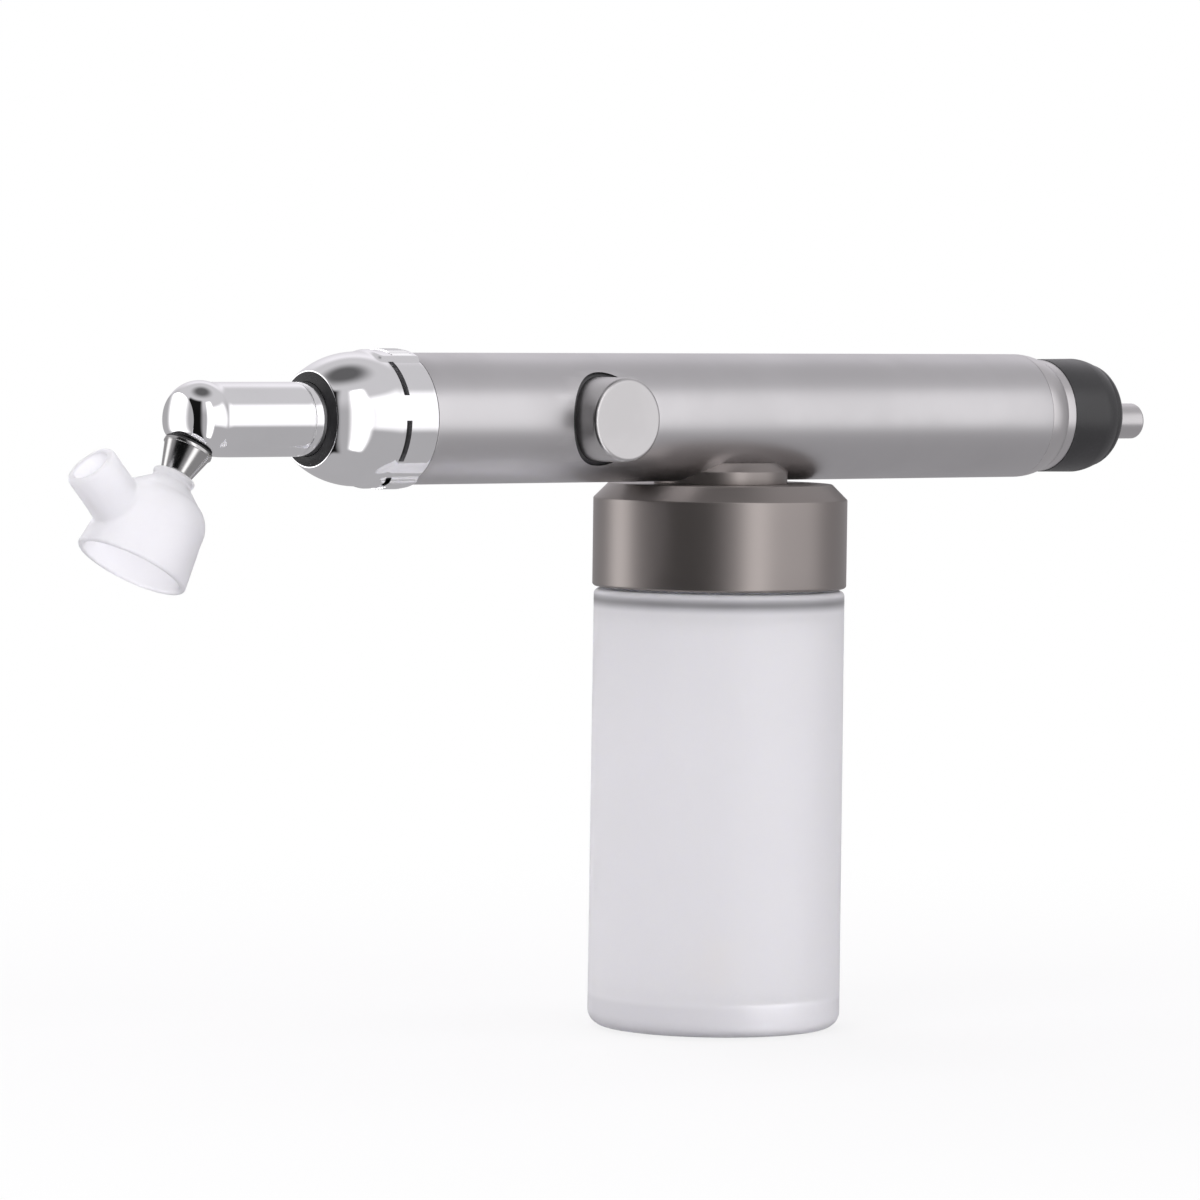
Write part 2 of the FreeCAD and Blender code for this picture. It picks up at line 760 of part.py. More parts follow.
def make_push_button():
    """Round push button: a hollow cap with a boss for the stem."""
    face_inside = button_face_y + button_face
    round_mid = button_round * (1 - math.sqrt(0.5))
    boss_end = face_inside + boss_depth
    cap = turned([
        (0, button_face_y),
        (button_radius - button_round, button_face_y),
        bend(button_radius - round_mid, button_face_y + round_mid),
        (button_radius, button_face_y + button_round),
        (button_radius, button_bottom_y),
        (button_radius - button_skirt, button_bottom_y),
        (button_radius - button_skirt, face_inside),
        (boss_radius, face_inside),
        (boss_radius, boss_end),
        (stem_radius, boss_end),
        (stem_radius, boss_end - stem_grip),
        (0, boss_end - stem_grip),
    ])
    return on_button(cap)


def make_valve_stem():
    """Stem that carries the push from the button to the poppet."""
    pad_y = seat_y + seat_gap
    head_y = pad_y + poppet_pad
    return on_button(turned([
        (0, button_face_y + button_face + boss_depth - stem_grip),
        (stem_radius, button_face_y + button_face + boss_depth - stem_grip),
        (stem_radius, head_y),
        (poppet_radius, head_y),
        (poppet_radius, head_y + poppet_head),
        (0, head_y + poppet_head),
    ]))


def make_poppet_pad():
    """Rubber pad on the poppet, which closes the air seat."""
    pad_y = seat_y + seat_gap
    return on_button(tube(poppet_radius + slip_fit, stem_radius, pad_y, pad_y + poppet_pad))


def make_button_spring():
    """Coil spring that pushes the button back out."""
    low = valve_floor_y - spring_wire / 2
    high = button_face_y + button_face + spring_wire / 2
    rise = (low - high) / (spring_turns * spring_steps)
    points = []
    for step in range(int(spring_turns * spring_steps) + 1):
        turn = 2 * math.pi * step / spring_steps
        points.append(Vector(spring_radius * math.cos(turn), spring_radius * math.sin(turn), high + rise * step))
    path = Part.BSplineCurve()
    path.interpolate(points)
    way = path.tangent(path.FirstParameter)[0]
    section = Part.Wire(Part.makeCircle(spring_wire / 2, points[0], way))
    return on_button(Part.Wire(path.toShape()).makePipeShell([section], True, True))


# ---- Nose ----------------------------------------------------------------------------------------
def make_front_socket():
    """Socket in the barrel's front end, in which the head's neck turns."""
    socket = on_barrel(turned([
        (0, socket_rear),
        (block_radius, socket_rear),
        (block_radius, barrel_front),
        (socket_radius, barrel_front),
        (socket_radius, socket_step),
        (socket_front_radius, socket_step),
        (socket_front_radius, bush_front),
        (socket_bore, bush_front),
        (socket_bore, tail_floor),
        (tail_bore, tail_floor),
        (tail_bore, socket_floor),
        (0, socket_floor),
    ]))
    tube_end = socket_floor + spigot_tube_socket
    socket = socket.cut(on_barrel(rod(head_tube_bore - slip_fit, socket_floor - overcut, tube_end)))
    line_end = socket_rear - line_socket
    for side in (1, -1):
        socket = socket.cut(line_hole(line_end, socket_rear + overcut, side))
        socket = socket.cut(ring_seat(socket_rear, -1, side))
    socket = socket.cut(drilled(line_place(line_end, -1), Vector(tube_end - drill_radius, 0, axis_z)))
    air_exit = Vector(socket_floor, 0, axis_z + (tail_radius + head_tube_bore) / 2)
    return socket.cut(drilled(line_place(line_end, 1), air_exit - X_AXIS * drill_radius))


def make_fluid_spigot():
    """Fine tube on the axis, which hands the fluid over to the turning head."""
    front = tail_rear - spigot_tube_overlap
    rear = socket_floor + spigot_tube_socket - 2 * drill_radius
    return on_barrel(tube(head_tube_bore - slip_fit, spigot_tube_bore, front, rear))


def make_neck_bush():
    """Bearing bush that holds the head's flange in the socket."""
    return on_barrel(tube(bush_radius, bush_bore, bush_front, bush_rear))


def make_nose_sleeve():
    """Black sleeve under the nose cap, seen through its slots."""
    return on_barrel(tube(sleeve_radius, sleeve_radius - sleeve_wall, socket_step, nose_rear))


def sector(half_angle, centre_angle, reach, low, high):
    """A wedge about the barrel's axis, measured from -Y towards +Z, between two places along X."""
    wedge = Part.makeCylinder(reach, high - low, Vector(), Z_AXIS, 2 * half_angle)
    wedge.rotate(Vector(), Z_AXIS, 180 - centre_angle - half_angle)
    wedge.translate(Vector(0, 0, low))
    # Lays the wedge's axis along X, with its own angle 0 at +Y and 90 at +Z.
    turn = FreeCAD.Rotation(Y_AXIS, Z_AXIS, X_AXIS, "XYZ")
    wedge.Placement = FreeCAD.Placement(axis_origin, turn).multiply(wedge.Placement)
    return wedge


def make_nose_cap():
    """Bright nose cap: a straight band with slots and two thumb pads, then an ogive."""
    band_front = nose_rear - nose_band
    rim_bore = nose_rim_radius - nose_rim_lip
    middle_radius = (nose_radius + nose_rim_radius) / 2 + nose_swell
    middle_x = (band_front + nose_front) / 2
    shell = on_barrel(turned([
        (rim_bore, nose_front),
        (nose_rim_radius, nose_front),
        bend(middle_radius, middle_x),
        (nose_radius, band_front),
        (nose_radius, nose_rear),
        (sleeve_radius + slip_fit, nose_rear),
        (sleeve_radius + slip_fit, socket_step),
        (socket_front_radius + slip_fit, socket_step),
        (socket_front_radius + slip_fit, bush_front),
        (rim_bore, bush_front),
    ]))
    pad_front = nose_rear - pad_length
    pad_skin = on_barrel(turned([
        (sleeve_radius + nose_wall / 2, nose_rear),
        (nose_radius + pad_rise, nose_rear),
        (nose_radius + pad_rise, pad_front),
        (nose_radius - pad_rise, pad_front - pad_ramp),
        (sleeve_radius + nose_wall / 2, pad_front - pad_ramp / 2),
    ]))
    for angle in (90, 270):
        wedge = sector(pad_half_angle, angle, 2 * nose_radius, pad_front - pad_ramp - overcut, nose_rear)
        shell = shell.fuse(pad_skin.common(wedge))
    slot_front = nose_rear - slot_setback - slot_width / 2
    for index in range(slot_count):
        angle = slot_phase + index * 360 / slot_count
        cutter = sector(slot_arc / 2, angle, 2 * nose_radius, slot_front, slot_front + slot_width)
        shell = shell.cut(cutter)
    return shell.removeSplitter()


def make_nose_seal():
    """Black ring that closes the gap between the nose cap and the turning neck."""
    bore = neck_radius + slip_fit
    rim = nose_rim_radius - nose_rim_lip
    return on_barrel(turned([
        (bore, bush_front),
        (rim, bush_front),
        (rim, nose_front),
        (bore, nose_front - seal_proud),
    ]))


# ---- Head ----------------------------------------------------------------------------------------
tail_ring_places = [tail_rear - tail_ring_cord / 2 - 0.35 - index * tail_ring_pitch for index in range(2)]


def make_spray_head():
    """Turning head: a round neck with a flange inside the nose and a slanted nozzle seat."""
    round_start = head_end + head_round
    flange_radius = neck_radius + neck_flange_rise
    head = on_barrel(turned([
        (0, head_end),
        (head_end_radius, head_end),
        bend((head_end_radius + neck_radius) / 2 + head_round_bulge, head_end + head_round / 3),
        (neck_radius, round_start),
        (neck_radius, flange_front),
        (flange_radius, flange_front),
        (flange_radius, flange_rear),
        (tail_radius, flange_rear),
        (tail_radius, tail_rear),
        (0, tail_rear),
    ]))
    groove_half = head_groove_width / 2
    ring_half = tail_ring_cord / 2 + slip_fit
    cutters = [
        tube(neck_radius + overcut, neck_radius - head_groove_depth,
             head_groove_x - groove_half, head_groove_x + groove_half),
        rod(head_bore, head_bore_end, tail_rear + overcut),
        rod(head_tube_radius + slip_fit, head_bore_end - head_tube_seat, head_bore_end + overcut),
    ]
    for place in tail_ring_places:
        cutters.append(tube(tail_radius + overcut, tail_radius - tail_ring_cord - slip_fit,
                            place - ring_half, place + ring_half))
    for cutter in cutters:
        head = head.cut(on_barrel(cutter))
    seat_reach = 3 * neck_radius
    for cutter in (
        rod(seat_reach, nozzle_seat, nozzle_seat + seat_reach),
        rod(nozzle_shank_radius + slip_fit, nozzle_seat - nozzle_shank, nozzle_seat + overcut),
        rod(fluid_tip_radius + slip_fit, 0, nozzle_seat),
    ):
        head = head.cut(on_nozzle(cutter))
    air_entry = Vector(head_bore_end, 0, axis_z - (head_bore + head_tube_radius) / 2)
    air_exit = nozzle_origin + spray_way * (nozzle_seat - nozzle_shank + drill_radius)
    across = Vector(-spray_way.z, 0, spray_way.x)
    return head.cut(drilled(air_entry, air_exit + across * nozzle_bore))


def make_tail_rings():
    """Two sealing rings on the head's rear end, which let it turn without leaking."""
    bore = tail_radius - tail_ring_cord
    return Part.makeCompound([on_barrel(ring(bore, tail_ring_cord, place)) for place in tail_ring_places])


def make_head_tube():
    """Fluid tube through the head's air bore."""
    front = head_bore_end - head_tube_seat
    return on_barrel(tube(head_tube_radius, head_tube_bore, front, tail_rear - stop_gap))


# ---- Nozzle --------------------------------------------------------------------------------------
def make_nozzle_seal():
    """Thin black washer under the nozzle's flange."""
    return on_nozzle(tube(nozzle_seal_radius, nozzle_shank_radius + slip_fit, nozzle_seat, flange_top))


def make_nozzle():
    """Conical air nozzle with a stem that the guard cup snaps over."""
    ridge_top = stem_end - nozzle_ridge
    ridge_radius = nozzle_stem_radius + nozzle_ridge_rise
    orifice_top = tip_end - nozzle_tip / 2
    return on_nozzle(turned([
        (nozzle_bore, nozzle_seat - nozzle_shank),
        (nozzle_shank_radius, nozzle_seat - nozzle_shank),
        (nozzle_shank_radius, flange_top),
        (nozzle_flange_radius, flange_top),
        (nozzle_flange_radius, cone_top),
        (nozzle_cone_radius, cone_top),
        (nozzle_cone_end_radius, cone_end),
        (nozzle_stem_radius, cone_end),
        (nozzle_stem_radius, ridge_top),
        (ridge_radius, ridge_top),
        (nozzle_stem_radius, stem_end),
        (nozzle_tip_radius, tip_end),
        (nozzle_orifice, tip_end),
        (nozzle_orifice, orifice_top),
        (nozzle_bore, orifice_top - nozzle_tip),
    ]))


def make_fluid_tip():
    """Fine fluid tube in the middle of the nozzle."""
    start = head_tube_radius + slip_fit
    return on_nozzle(tube(fluid_tip_radius, fluid_tip_bore, start, tip_end + fluid_tip_proud))


# ---- Guard cup -----------------------------------------------------------------------------------
def dome_outline(inset):
    """The cup's outline below its lip, moved inwards by the inset: (radius, distance below the lip)."""
    drop = inset / 2
    middle_radius = (cup_cone_radius + cup_dome_radius) / 2 + cup_dome_swell
    middle_drop = (cup_cone + cup_dome) / 2 - cup_dome_swell
    return [
        (cup_cone_radius - inset, cup_cone + drop),
        bend(middle_radius - inset, middle_drop + drop),
        (cup_dome_radius - inset, cup_dome + drop),
    ]


def make_guard_cup():
    """Soft splash guard: a domed cup around the spray with an open side spout."""
    hole = nozzle_stem_radius + slip_fit
    waist = cup_lip_half * 2
    rim_half = cup_wall / 2
    below_rim = cup_depth - rim_half
    outside = [
        (0, -cup_lip_half),
        (cup_lip_waist, -cup_lip_half),
        bend(cup_lip_radius, 0),
        (cup_lip_waist, cup_lip_half),
        (cup_lip_waist, waist),
    ]
    outside += dome_outline(0)
    outside += [
        (cup_rim_radius, below_rim),
        bend(cup_rim_radius - rim_half, cup_depth),
        (cup_rim_radius - cup_wall, below_rim),
        (0, below_rim),
    ]
    inside = [
        (0, cup_neck - cup_lip_half),
        (hole + cup_wall, cup_neck - cup_lip_half),
    ]
    inside += dome_outline(cup_wall)
    inside += [
        (cup_rim_radius - cup_wall, below_rim),
        (0, below_rim),
    ]
    round_mid = spout_round * (1 - math.sqrt(0.5))
    spout = turned([
        (0, spout_start),
        (spout_root_radius, spout_start),
        (spout_radius, spout_length - spout_straight),
        (spout_radius, spout_length - spout_round),
        bend(spout_radius - round_mid, spout_length - round_mid),
        (spout_radius - spout_round, spout_length),
        (0, spout_length),
    ])
    lip_origin = nozzle_origin + spray_way * cup_lip
    cup = placed(turned(outside), lip_origin, spray_way)
    cup = cup.fuse(placed(spout, spout_origin, spout_way))
    cup = cup.cut(placed(turned(inside), lip_origin, spray_way))
    cup = cup.cut(placed(rod(spout_bore, 0, spout_length + overcut), spout_origin, spout_way))
    cup = cup.cut(placed(rod(hole, -overcut, cup_depth / 2), lip_origin, spray_way))
    return cup.removeSplitter()


# ---- Every piece, by the name of its node --------------------------------------------------------
pieces = {
    "jar": make_jar,
    "lid_gasket": make_lid_gasket,
    "lid": make_lid,
    "saddle": make_saddle,
    "feed_bolt": make_feed_bolt,
    "feed_washer": make_feed_washer,
    "pickup_tube": make_pickup_tube,
    "pickup_strainer": make_pickup_strainer,
    "manifold_block": make_manifold_block,
    "barrel": make_barrel,
    "rear_air_line": make_rear_air_line,
    "front_air_line": make_front_air_line,
    "fluid_line": make_fluid_line,
    "line_rings": make_line_rings,
    "rear_collar": make_rear_collar,
    "rear_cap": make_rear_cap,
    "hose_spigot": make_hose_spigot,
    "spigot_ring": make_spigot_ring,
    "inlet_filter": make_inlet_filter,
    "valve_body": make_valve_body,
    "button_guide": make_button_guide,
    "stem_ring": make_stem_ring,
    "valve_plug": make_valve_plug,
    "push_button": make_push_button,
    "valve_stem": make_valve_stem,
    "poppet_pad": make_poppet_pad,
    "button_spring": make_button_spring,
    "front_socket": make_front_socket,
    "fluid_spigot": make_fluid_spigot,
    "neck_bush": make_neck_bush,
    "nose_sleeve": make_nose_sleeve,
    "nose_cap": make_nose_cap,
    "nose_seal": make_nose_seal,
    "spray_head": make_spray_head,
    "tail_rings": make_tail_rings,
    "head_tube": make_head_tube,
    "nozzle_seal": make_nozzle_seal,
    "nozzle": make_nozzle,
    "fluid_tip": make_fluid_tip,
    "guard_cup": make_guard_cup,
}

os.makedirs("parts", exist_ok=True)
for name, make in pieces.items():
    solid = make()
    solid.exportStep("parts/" + name + ".step")
    print(name, len(solid.Solids), "solids, valid", solid.isValid(), "volume", round(solid.Volume, 1))
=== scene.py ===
import json
import math
from contextlib import contextmanager

import bmesh
import bpy
from bpy.props import FloatProperty, FloatVectorProperty, IntProperty, PointerProperty
from mathutils import Matrix, Vector


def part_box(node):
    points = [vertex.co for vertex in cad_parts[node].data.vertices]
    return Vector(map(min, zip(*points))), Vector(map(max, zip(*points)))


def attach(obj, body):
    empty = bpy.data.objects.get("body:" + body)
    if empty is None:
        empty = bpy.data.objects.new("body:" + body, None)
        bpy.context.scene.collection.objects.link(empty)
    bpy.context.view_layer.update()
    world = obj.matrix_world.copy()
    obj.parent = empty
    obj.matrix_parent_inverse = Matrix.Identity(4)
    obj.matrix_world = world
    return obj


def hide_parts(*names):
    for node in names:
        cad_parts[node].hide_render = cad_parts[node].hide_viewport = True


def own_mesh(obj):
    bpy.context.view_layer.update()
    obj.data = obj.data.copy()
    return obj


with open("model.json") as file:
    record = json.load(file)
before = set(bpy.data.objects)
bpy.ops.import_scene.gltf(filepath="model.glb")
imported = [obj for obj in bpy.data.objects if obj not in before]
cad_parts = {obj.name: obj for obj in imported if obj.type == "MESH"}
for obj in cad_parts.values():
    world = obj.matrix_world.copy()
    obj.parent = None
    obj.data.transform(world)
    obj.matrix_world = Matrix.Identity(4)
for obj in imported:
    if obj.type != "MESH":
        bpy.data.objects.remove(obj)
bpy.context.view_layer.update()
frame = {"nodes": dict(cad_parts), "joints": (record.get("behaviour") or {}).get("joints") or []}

bl_info = {
    "name": "Air Spray Gun Finish",
    "version": (1, 0, 0),
    "blender": (4, 5, 0),
    "location": "3D View > Sidebar > Spray Gun",
    "description": "Builds the finished surfaces of a hand-held air spray gun around its CAD frame",
    "category": "Add Mesh",
}

MM = 0.001
UP = Vector((0, 0, 1))
BARREL_WAY = Vector((1, 0, 0))
BUTTON_WAY = Vector((0, 1, 0))
SMOOTH_ANGLE = math.radians(32)
SMALLEST_EDGE = 0.000008
WHITE = (1.0, 1.0, 1.0, 1.0)


# ---- Places read from the frame ------------------------------------------------------------------
def joint_named(name):
    """The record's joint of that name."""
    for joint in frame["joints"]:
        if joint["name"] == name:
            return joint
    raise RuntimeError("the frame has no joint named " + name)


def low_mm(node):
    """Lowest corner of a CAD node, in millimetres."""
    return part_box(node)[0] / MM


def high_mm(node):
    """Highest corner of a CAD node, in millimetres."""
    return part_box(node)[1] / MM


axis_z = (low_mm("barrel").z + high_mm("barrel").z) / 2
spigot_z = (low_mm("hose_spigot").z + high_mm("hose_spigot").z) / 2
button_x = (low_mm("push_button").x + high_mm("push_button").x) / 2
head_point = Vector(joint_named("head_swivel")["pos_m"]) / MM
spray_way = Vector(joint_named("guard_swivel")["axis"]).normalized()


# ---- Sizes and colours that a user may change ----------------------------------------------------
def length(name, description, default):
    """A size in millimetres of the finished surfaces."""
    return FloatProperty(name=name, description=description, default=default, min=0.0)


def tint(name, description, default):
    """A surface colour."""
    return FloatVectorProperty(
        name=name, description=description, default=default, subtype="COLOR", size=3, min=0.0, max=1.0
    )


def share(name, description, default):
    """A value from 0 to 1."""
    return FloatProperty(name=name, description=description, default=default, min=0.0, max=1.0)


class GunSizes(bpy.types.PropertyGroup):
    """Sizes of the finished surfaces, in millimetres."""

    barrel_radius: length(
        "Barrel radius", "Outside of the main tube", (high_mm("barrel").z - low_mm("barrel").z) / 2
    )
    barrel_wall: length("Barrel wall", "Thickness of the main tube", 1.8)
    button_radius: length("Button radius", "Outside of the push button", high_mm("push_button").x - button_x)
    jar_radius: length("Jar radius", "Outside of the glass at its foot", high_mm("jar").x)
    lid_radius: length("Lid radius", "Outside of the screw lid", high_mm("lid").x)
    neck_radius: length("Neck radius", "Outside of the turning head's neck", 5.6)
    edge_round: length("Edge round", "How far machined edges are broken", 0.12)
    thread_pitch: length("Thread pitch", "Rise of the jar's thread in one turn", 4.0)
    thread_turns: length("Thread turns", "Length of the jar's thread, in turns", 1.75)
    grip_depth: length("Grip depth", "How far the ridges of the thumb pads stand up", 0.16)
    grip_ridges: IntProperty(
        name="Grip ridges", description="Ridges on each thumb pad", default=13, min=3, max=40
    )
    spring_turns: length("Spring turns", "Turns of the button's spring", 5.0)
    facets: IntProperty(
        name="Facets", description="Steps around a turned piece", default=144, min=24, max=360
    )


class GunFinish(bpy.types.PropertyGroup):
    """Colours and roughness of the finished surfaces."""

    barrel_tint: tint("Barrel", "Blasted aluminium of the tube", (0.655, 0.645, 0.655))
    button_tint: tint("Button", "Blasted aluminium of the push button", (0.63, 0.62, 0.622))
    lid_tint: tint("Lid", "Anodised gunmetal of the lid and saddle", (0.335, 0.300, 0.302))
    chrome_tint: tint("Chrome", "Polished nose and head", (0.955, 0.955, 0.965))
    collar_tint: tint("Collar", "Satin steel of the collar and spigot", (0.66, 0.645, 0.65))
    nozzle_tint: tint("Nozzle", "Turned steel of the nozzle", (0.52, 0.515, 0.51))
    cap_tint: tint("Rear cap", "Black moulded plastic", (0.016, 0.016, 0.017))
    rubber_tint: tint("Rubber", "Black seals", (0.012, 0.012, 0.013))
    glass_tint: tint("Glass", "Frosted jar", (0.93, 0.93, 0.955))
    silicone_tint: tint("Silicone", "Frosted guard cup", (0.93, 0.93, 0.955))
    brass_tint: tint("Brass", "Machined brass inside", (0.78, 0.60, 0.30))
    steel_tint: tint("Steel", "Drawn steel lines", (0.62, 0.62, 0.63))
    barrel_rough: share("Barrel roughness", "Softness of the barrel's reflections", 0.36)
    lid_rough: share("Lid roughness", "Softness of the lid's reflections", 0.20)
    chrome_rough: share("Chrome roughness", "Softness of the chrome's reflections", 0.05)


class GunStage(bpy.types.PropertyGroup):
    """Camera and light of the studio."""

    lens: FloatProperty(name="Lens", description="Focal length in millimetres", default=198.0, min=10.0)
    turn: FloatProperty(name="Turn", description="Camera azimuth in degrees", default=-38.81)
    rise: FloatProperty(name="Rise", description="Camera elevation in degrees", default=2.89)
    roll: FloatProperty(name="Roll", description="Camera roll in degrees", default=0.75)
    reach: FloatProperty(name="Reach", description="Camera distance", default=1.0243, unit="LENGTH")
    aim: FloatVectorProperty(
        name="Aim",
        description="Point the camera looks at",
        default=(-0.02404, 0.0, 0.0677),
        subtype="XYZ",
        size=3,
    )
    room: FloatProperty(
        name="Room light", description="Strength of the room's soft panels", default=1.0, min=0.0
    )
    lamps: FloatProperty(name="Lamps", description="Strength of the soft lamps", default=1.0, min=0.0)


def sizes():
    """The sizes that are set in the scene."""
    return bpy.context.scene.gun_sizes


def finish():
    """The colours and roughness that are set in the scene."""
    return bpy.context.scene.gun_finish


# ---- Outlines and turned meshes ------------------------------------------------------------------
ARC = "arc"
ARC_STEPS = 14


def arc_points(first, middle, last):
    """Points on the circle through three outline points, without the first one."""
    a, b, c = (Vector(point[:2]) for point in (first, middle, last))
    twice = 2 * (a.x * (b.y - c.y) + b.x * (c.y - a.y) + c.x * (a.y - b.y))
    if abs(twice) < 1e-9:
        return [tuple(b), tuple(c)]
    centre = Vector((
        (a.dot(a) * (b.y - c.y) + b.dot(b) * (c.y - a.y) + c.dot(c) * (a.y - b.y)) / twice,
        (a.dot(a) * (c.x - b.x) + b.dot(b) * (a.x - c.x) + c.dot(c) * (b.x - a.x)) / twice,
    ))
    radius = (a - centre).length
    start = math.atan2(a.y - centre.y, a.x - centre.x)
    sweep = math.atan2(c.y - centre.y, c.x - centre.x) - start
    sweep = (sweep + math.pi) % (2 * math.pi) - math.pi
    steps = range(1, ARC_STEPS + 1)
    angles = [start + sweep * step / ARC_STEPS for step in steps]
    return [(centre.x + radius * math.cos(angle), centre.y + radius * math.sin(angle)) for angle in angles]


def flowing(outline):
    """Replace each arc mark in a closed outline by points along its arc."""
    loop = list(outline) + [outline[0]]
    points = [tuple(loop[0][:2])]
    index = 0
    while index < len(loop) - 1:
        if len(loop[index + 1]) == 3:
            points += arc_points(loop[index], loop[index + 1], loop[index + 2])
            index += 2
        else:
            points.append(tuple(loop[index + 1][:2]))
            index += 1
    return points[:-1]


def broken_edges(points, radius, steps=4):
    """Round the sharp corners of a closed outline by a small radius."""
    result = []
    count = len(points)
    for index in range(count):
        before, here, after = (Vector(points[(index + shift) % count]) for shift in (-1, 0, 1))
        way_in, way_out = (here - before), (after - here)
        sharp = way_in.length > 1e-6 and way_out.length > 1e-6 and way_in.angle(way_out) > math.radians(18)
        if not sharp or here.x < 1e-6 or radius <= 0:
            result.append(tuple(here))
            continue
        reach = min(radius, way_in.length * 0.4, way_out.length * 0.4)
        start = here - way_in.normalized() * reach
        end = here + way_out.normalized() * reach
        for step in range(steps + 1):
            part = step / steps
            result.append(tuple(start.lerp(here, part).lerp(here.lerp(end, part), part)))
    return result


def split_runs(points, longest):
    """Add points on long straight runs, so that later cuts stay local."""
    result = []
    for index, point in enumerate(points):
        here, after = Vector(point), Vector(points[(index + 1) % len(points)])
        pieces = max(1, math.ceil((after - here).length / longest))
        if here.x < 1e-6 and after.x < 1e-6:
            pieces = 1
        result += [tuple(here.lerp(after, step / pieces)) for step in range(pieces)]
    return result


def lay(mesh, origin, way):
    """Place a mesh made on the Z axis in millimetres: its axis goes along way from origin."""
    turn = UP.rotation_difference(way).to_matrix().to_4x4()
    mesh.transform(Matrix.Scale(MM, 4) @ Matrix.Translation(Vector(origin)) @ turn)


def to_object(name, build):
    """Turn a bmesh into an object in the scene, with its normals pointing out."""
    bmesh.ops.remove_doubles(build, verts=build.verts, dist=1e-5)
    bmesh.ops.recalc_face_normals(build, faces=build.faces)
    mesh = bpy.data.meshes.new(name)
    build.to_mesh(mesh)
    build.free()
    piece = bpy.data.objects.new(name, mesh)
    bpy.context.scene.collection.objects.link(piece)
    return piece


def turned(name, outline, origin, way, edge=None, longest=None):
    """Spin a closed outline of (radius, height) points about an axis."""
    edge = sizes().edge_round if edge is None else edge
    points = broken_edges(flowing(outline), edge)
    if longest:
        points = split_runs(points, longest)
    facets = sizes().facets
    build = bmesh.new()
    rings = []
    for radius, height in points:
        if radius < 1e-6:
            rings.append([build.verts.new((0, 0, height))] * facets)
            continue
        angles = [2 * math.pi * step / facets for step in range(facets)]
        rings.append([build.verts.new((radius * math.cos(a), radius * math.sin(a), height)) for a in angles])
    for index, ring in enumerate(rings):
        following = rings[(index + 1) % len(rings)]
        for step in range(facets):
            beside = (step + 1) % facets
            corners = [ring[step], ring[beside], following[beside], following[step]]
            corners = [corner for spot, corner in enumerate(corners) if corner not in corners[:spot]]
            if len(corners) > 2:
                build.faces.new(corners)
    piece = to_object(name, build)
    lay(piece.data, origin, way)
    return piece


def rod(name, radius, start, end, origin, way, longest=None):
    """A plain cylinder to cut with, from start to end along an axis."""
    outline = [(0, start), (radius, start), (radius, end), (0, end)]
    return turned(name, outline, origin, way, edge=0, longest=longest)


@contextmanager
def editing(piece):
    """A bmesh of a piece's mesh, written back when the edits are done."""
    build = bmesh.new()
    build.from_mesh(piece.data)
    yield build
    build.to_mesh(piece.data)
    build.free()


def frozen(piece):
    """Bake a piece's modifiers into a plain mesh."""
    bpy.context.view_layer.update()
    graph = bpy.context.evaluated_depsgraph_get()
    mesh = bpy.data.meshes.new_from_object(piece.evaluated_get(graph), depsgraph=graph)
    piece.modifiers.clear()
    piece.data = mesh
    return piece


def discard(piece):
    """Remove a piece from the scene."""
    bpy.data.objects.remove(piece, do_unlink=True)


def carve(piece, tool, way="DIFFERENCE"):
    """Cut a piece with a tool, or join them, and drop the tool."""
    modifier = piece.modifiers.new("carve", "BOOLEAN")
    modifier.operation = way
    modifier.solver = "EXACT"
    modifier.object = tool
    frozen(piece)
    discard(tool)
    with editing(piece) as build:
        bmesh.ops.remove_doubles(build, verts=build.verts, dist=SMALLEST_EDGE)
        bmesh.ops.dissolve_degenerate(build, edges=build.edges, dist=SMALLEST_EDGE)
        stray = [face for face in build.faces if all(edge.is_boundary for edge in face.edges)]
        bmesh.ops.delete(build, geom=stray, context="FACES")
        bmesh.ops.triangulate(build, faces=[face for face in build.faces if len(face.verts) > 4])
    return piece


def smoothed(piece, angle=SMOOTH_ANGLE):
    """Shade a piece smooth, with creases at its sharp edges."""
    mesh = piece.data
    mesh.polygons.foreach_set("use_smooth", [True] * len(mesh.polygons))
    mesh.set_sharp_from_angle(angle=angle)
    mesh.update()
    return piece


def finished(piece, body, slot, material, *nodes):
    """Give a piece its material and its body, in place of CAD nodes; slot is not used."""
    piece.data.materials.clear()
    piece.data.materials.append(material)
    smoothed(piece)
    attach(piece, body)
    if nodes:
        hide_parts(*nodes)
    return piece


def on_barrel(x=0.0):
    """A point on the barrel's axis, in millimetres."""
    return Vector((x, 0, axis_z))


def on_nozzle(distance=0.0):
    """A point on the spray's axis at a distance from the head's point, in millimetres."""
    return head_point + spray_way * distance


# ---- Repeated shapes made with geometry nodes ----------------------------------------------------
def add_node(tree, kind, inputs=None, **settings):
    """Add a node with its settings, and set or link each of the named inputs."""
    node = tree.nodes.new(kind)
    for name, value in settings.items():
        setattr(node, name, value)
    for name, value in (inputs or {}).items():
        if isinstance(value, bpy.types.NodeSocket):
            tree.links.new(value, node.inputs[name])
        else:
            node.inputs[name].default_value = value
    return node


def maths(tree, operation, *values):
    """The result of a Math node with numbers or links on its inputs."""
    return add_node(tree, "ShaderNodeMath", dict(enumerate(values)), operation=operation).outputs[0]


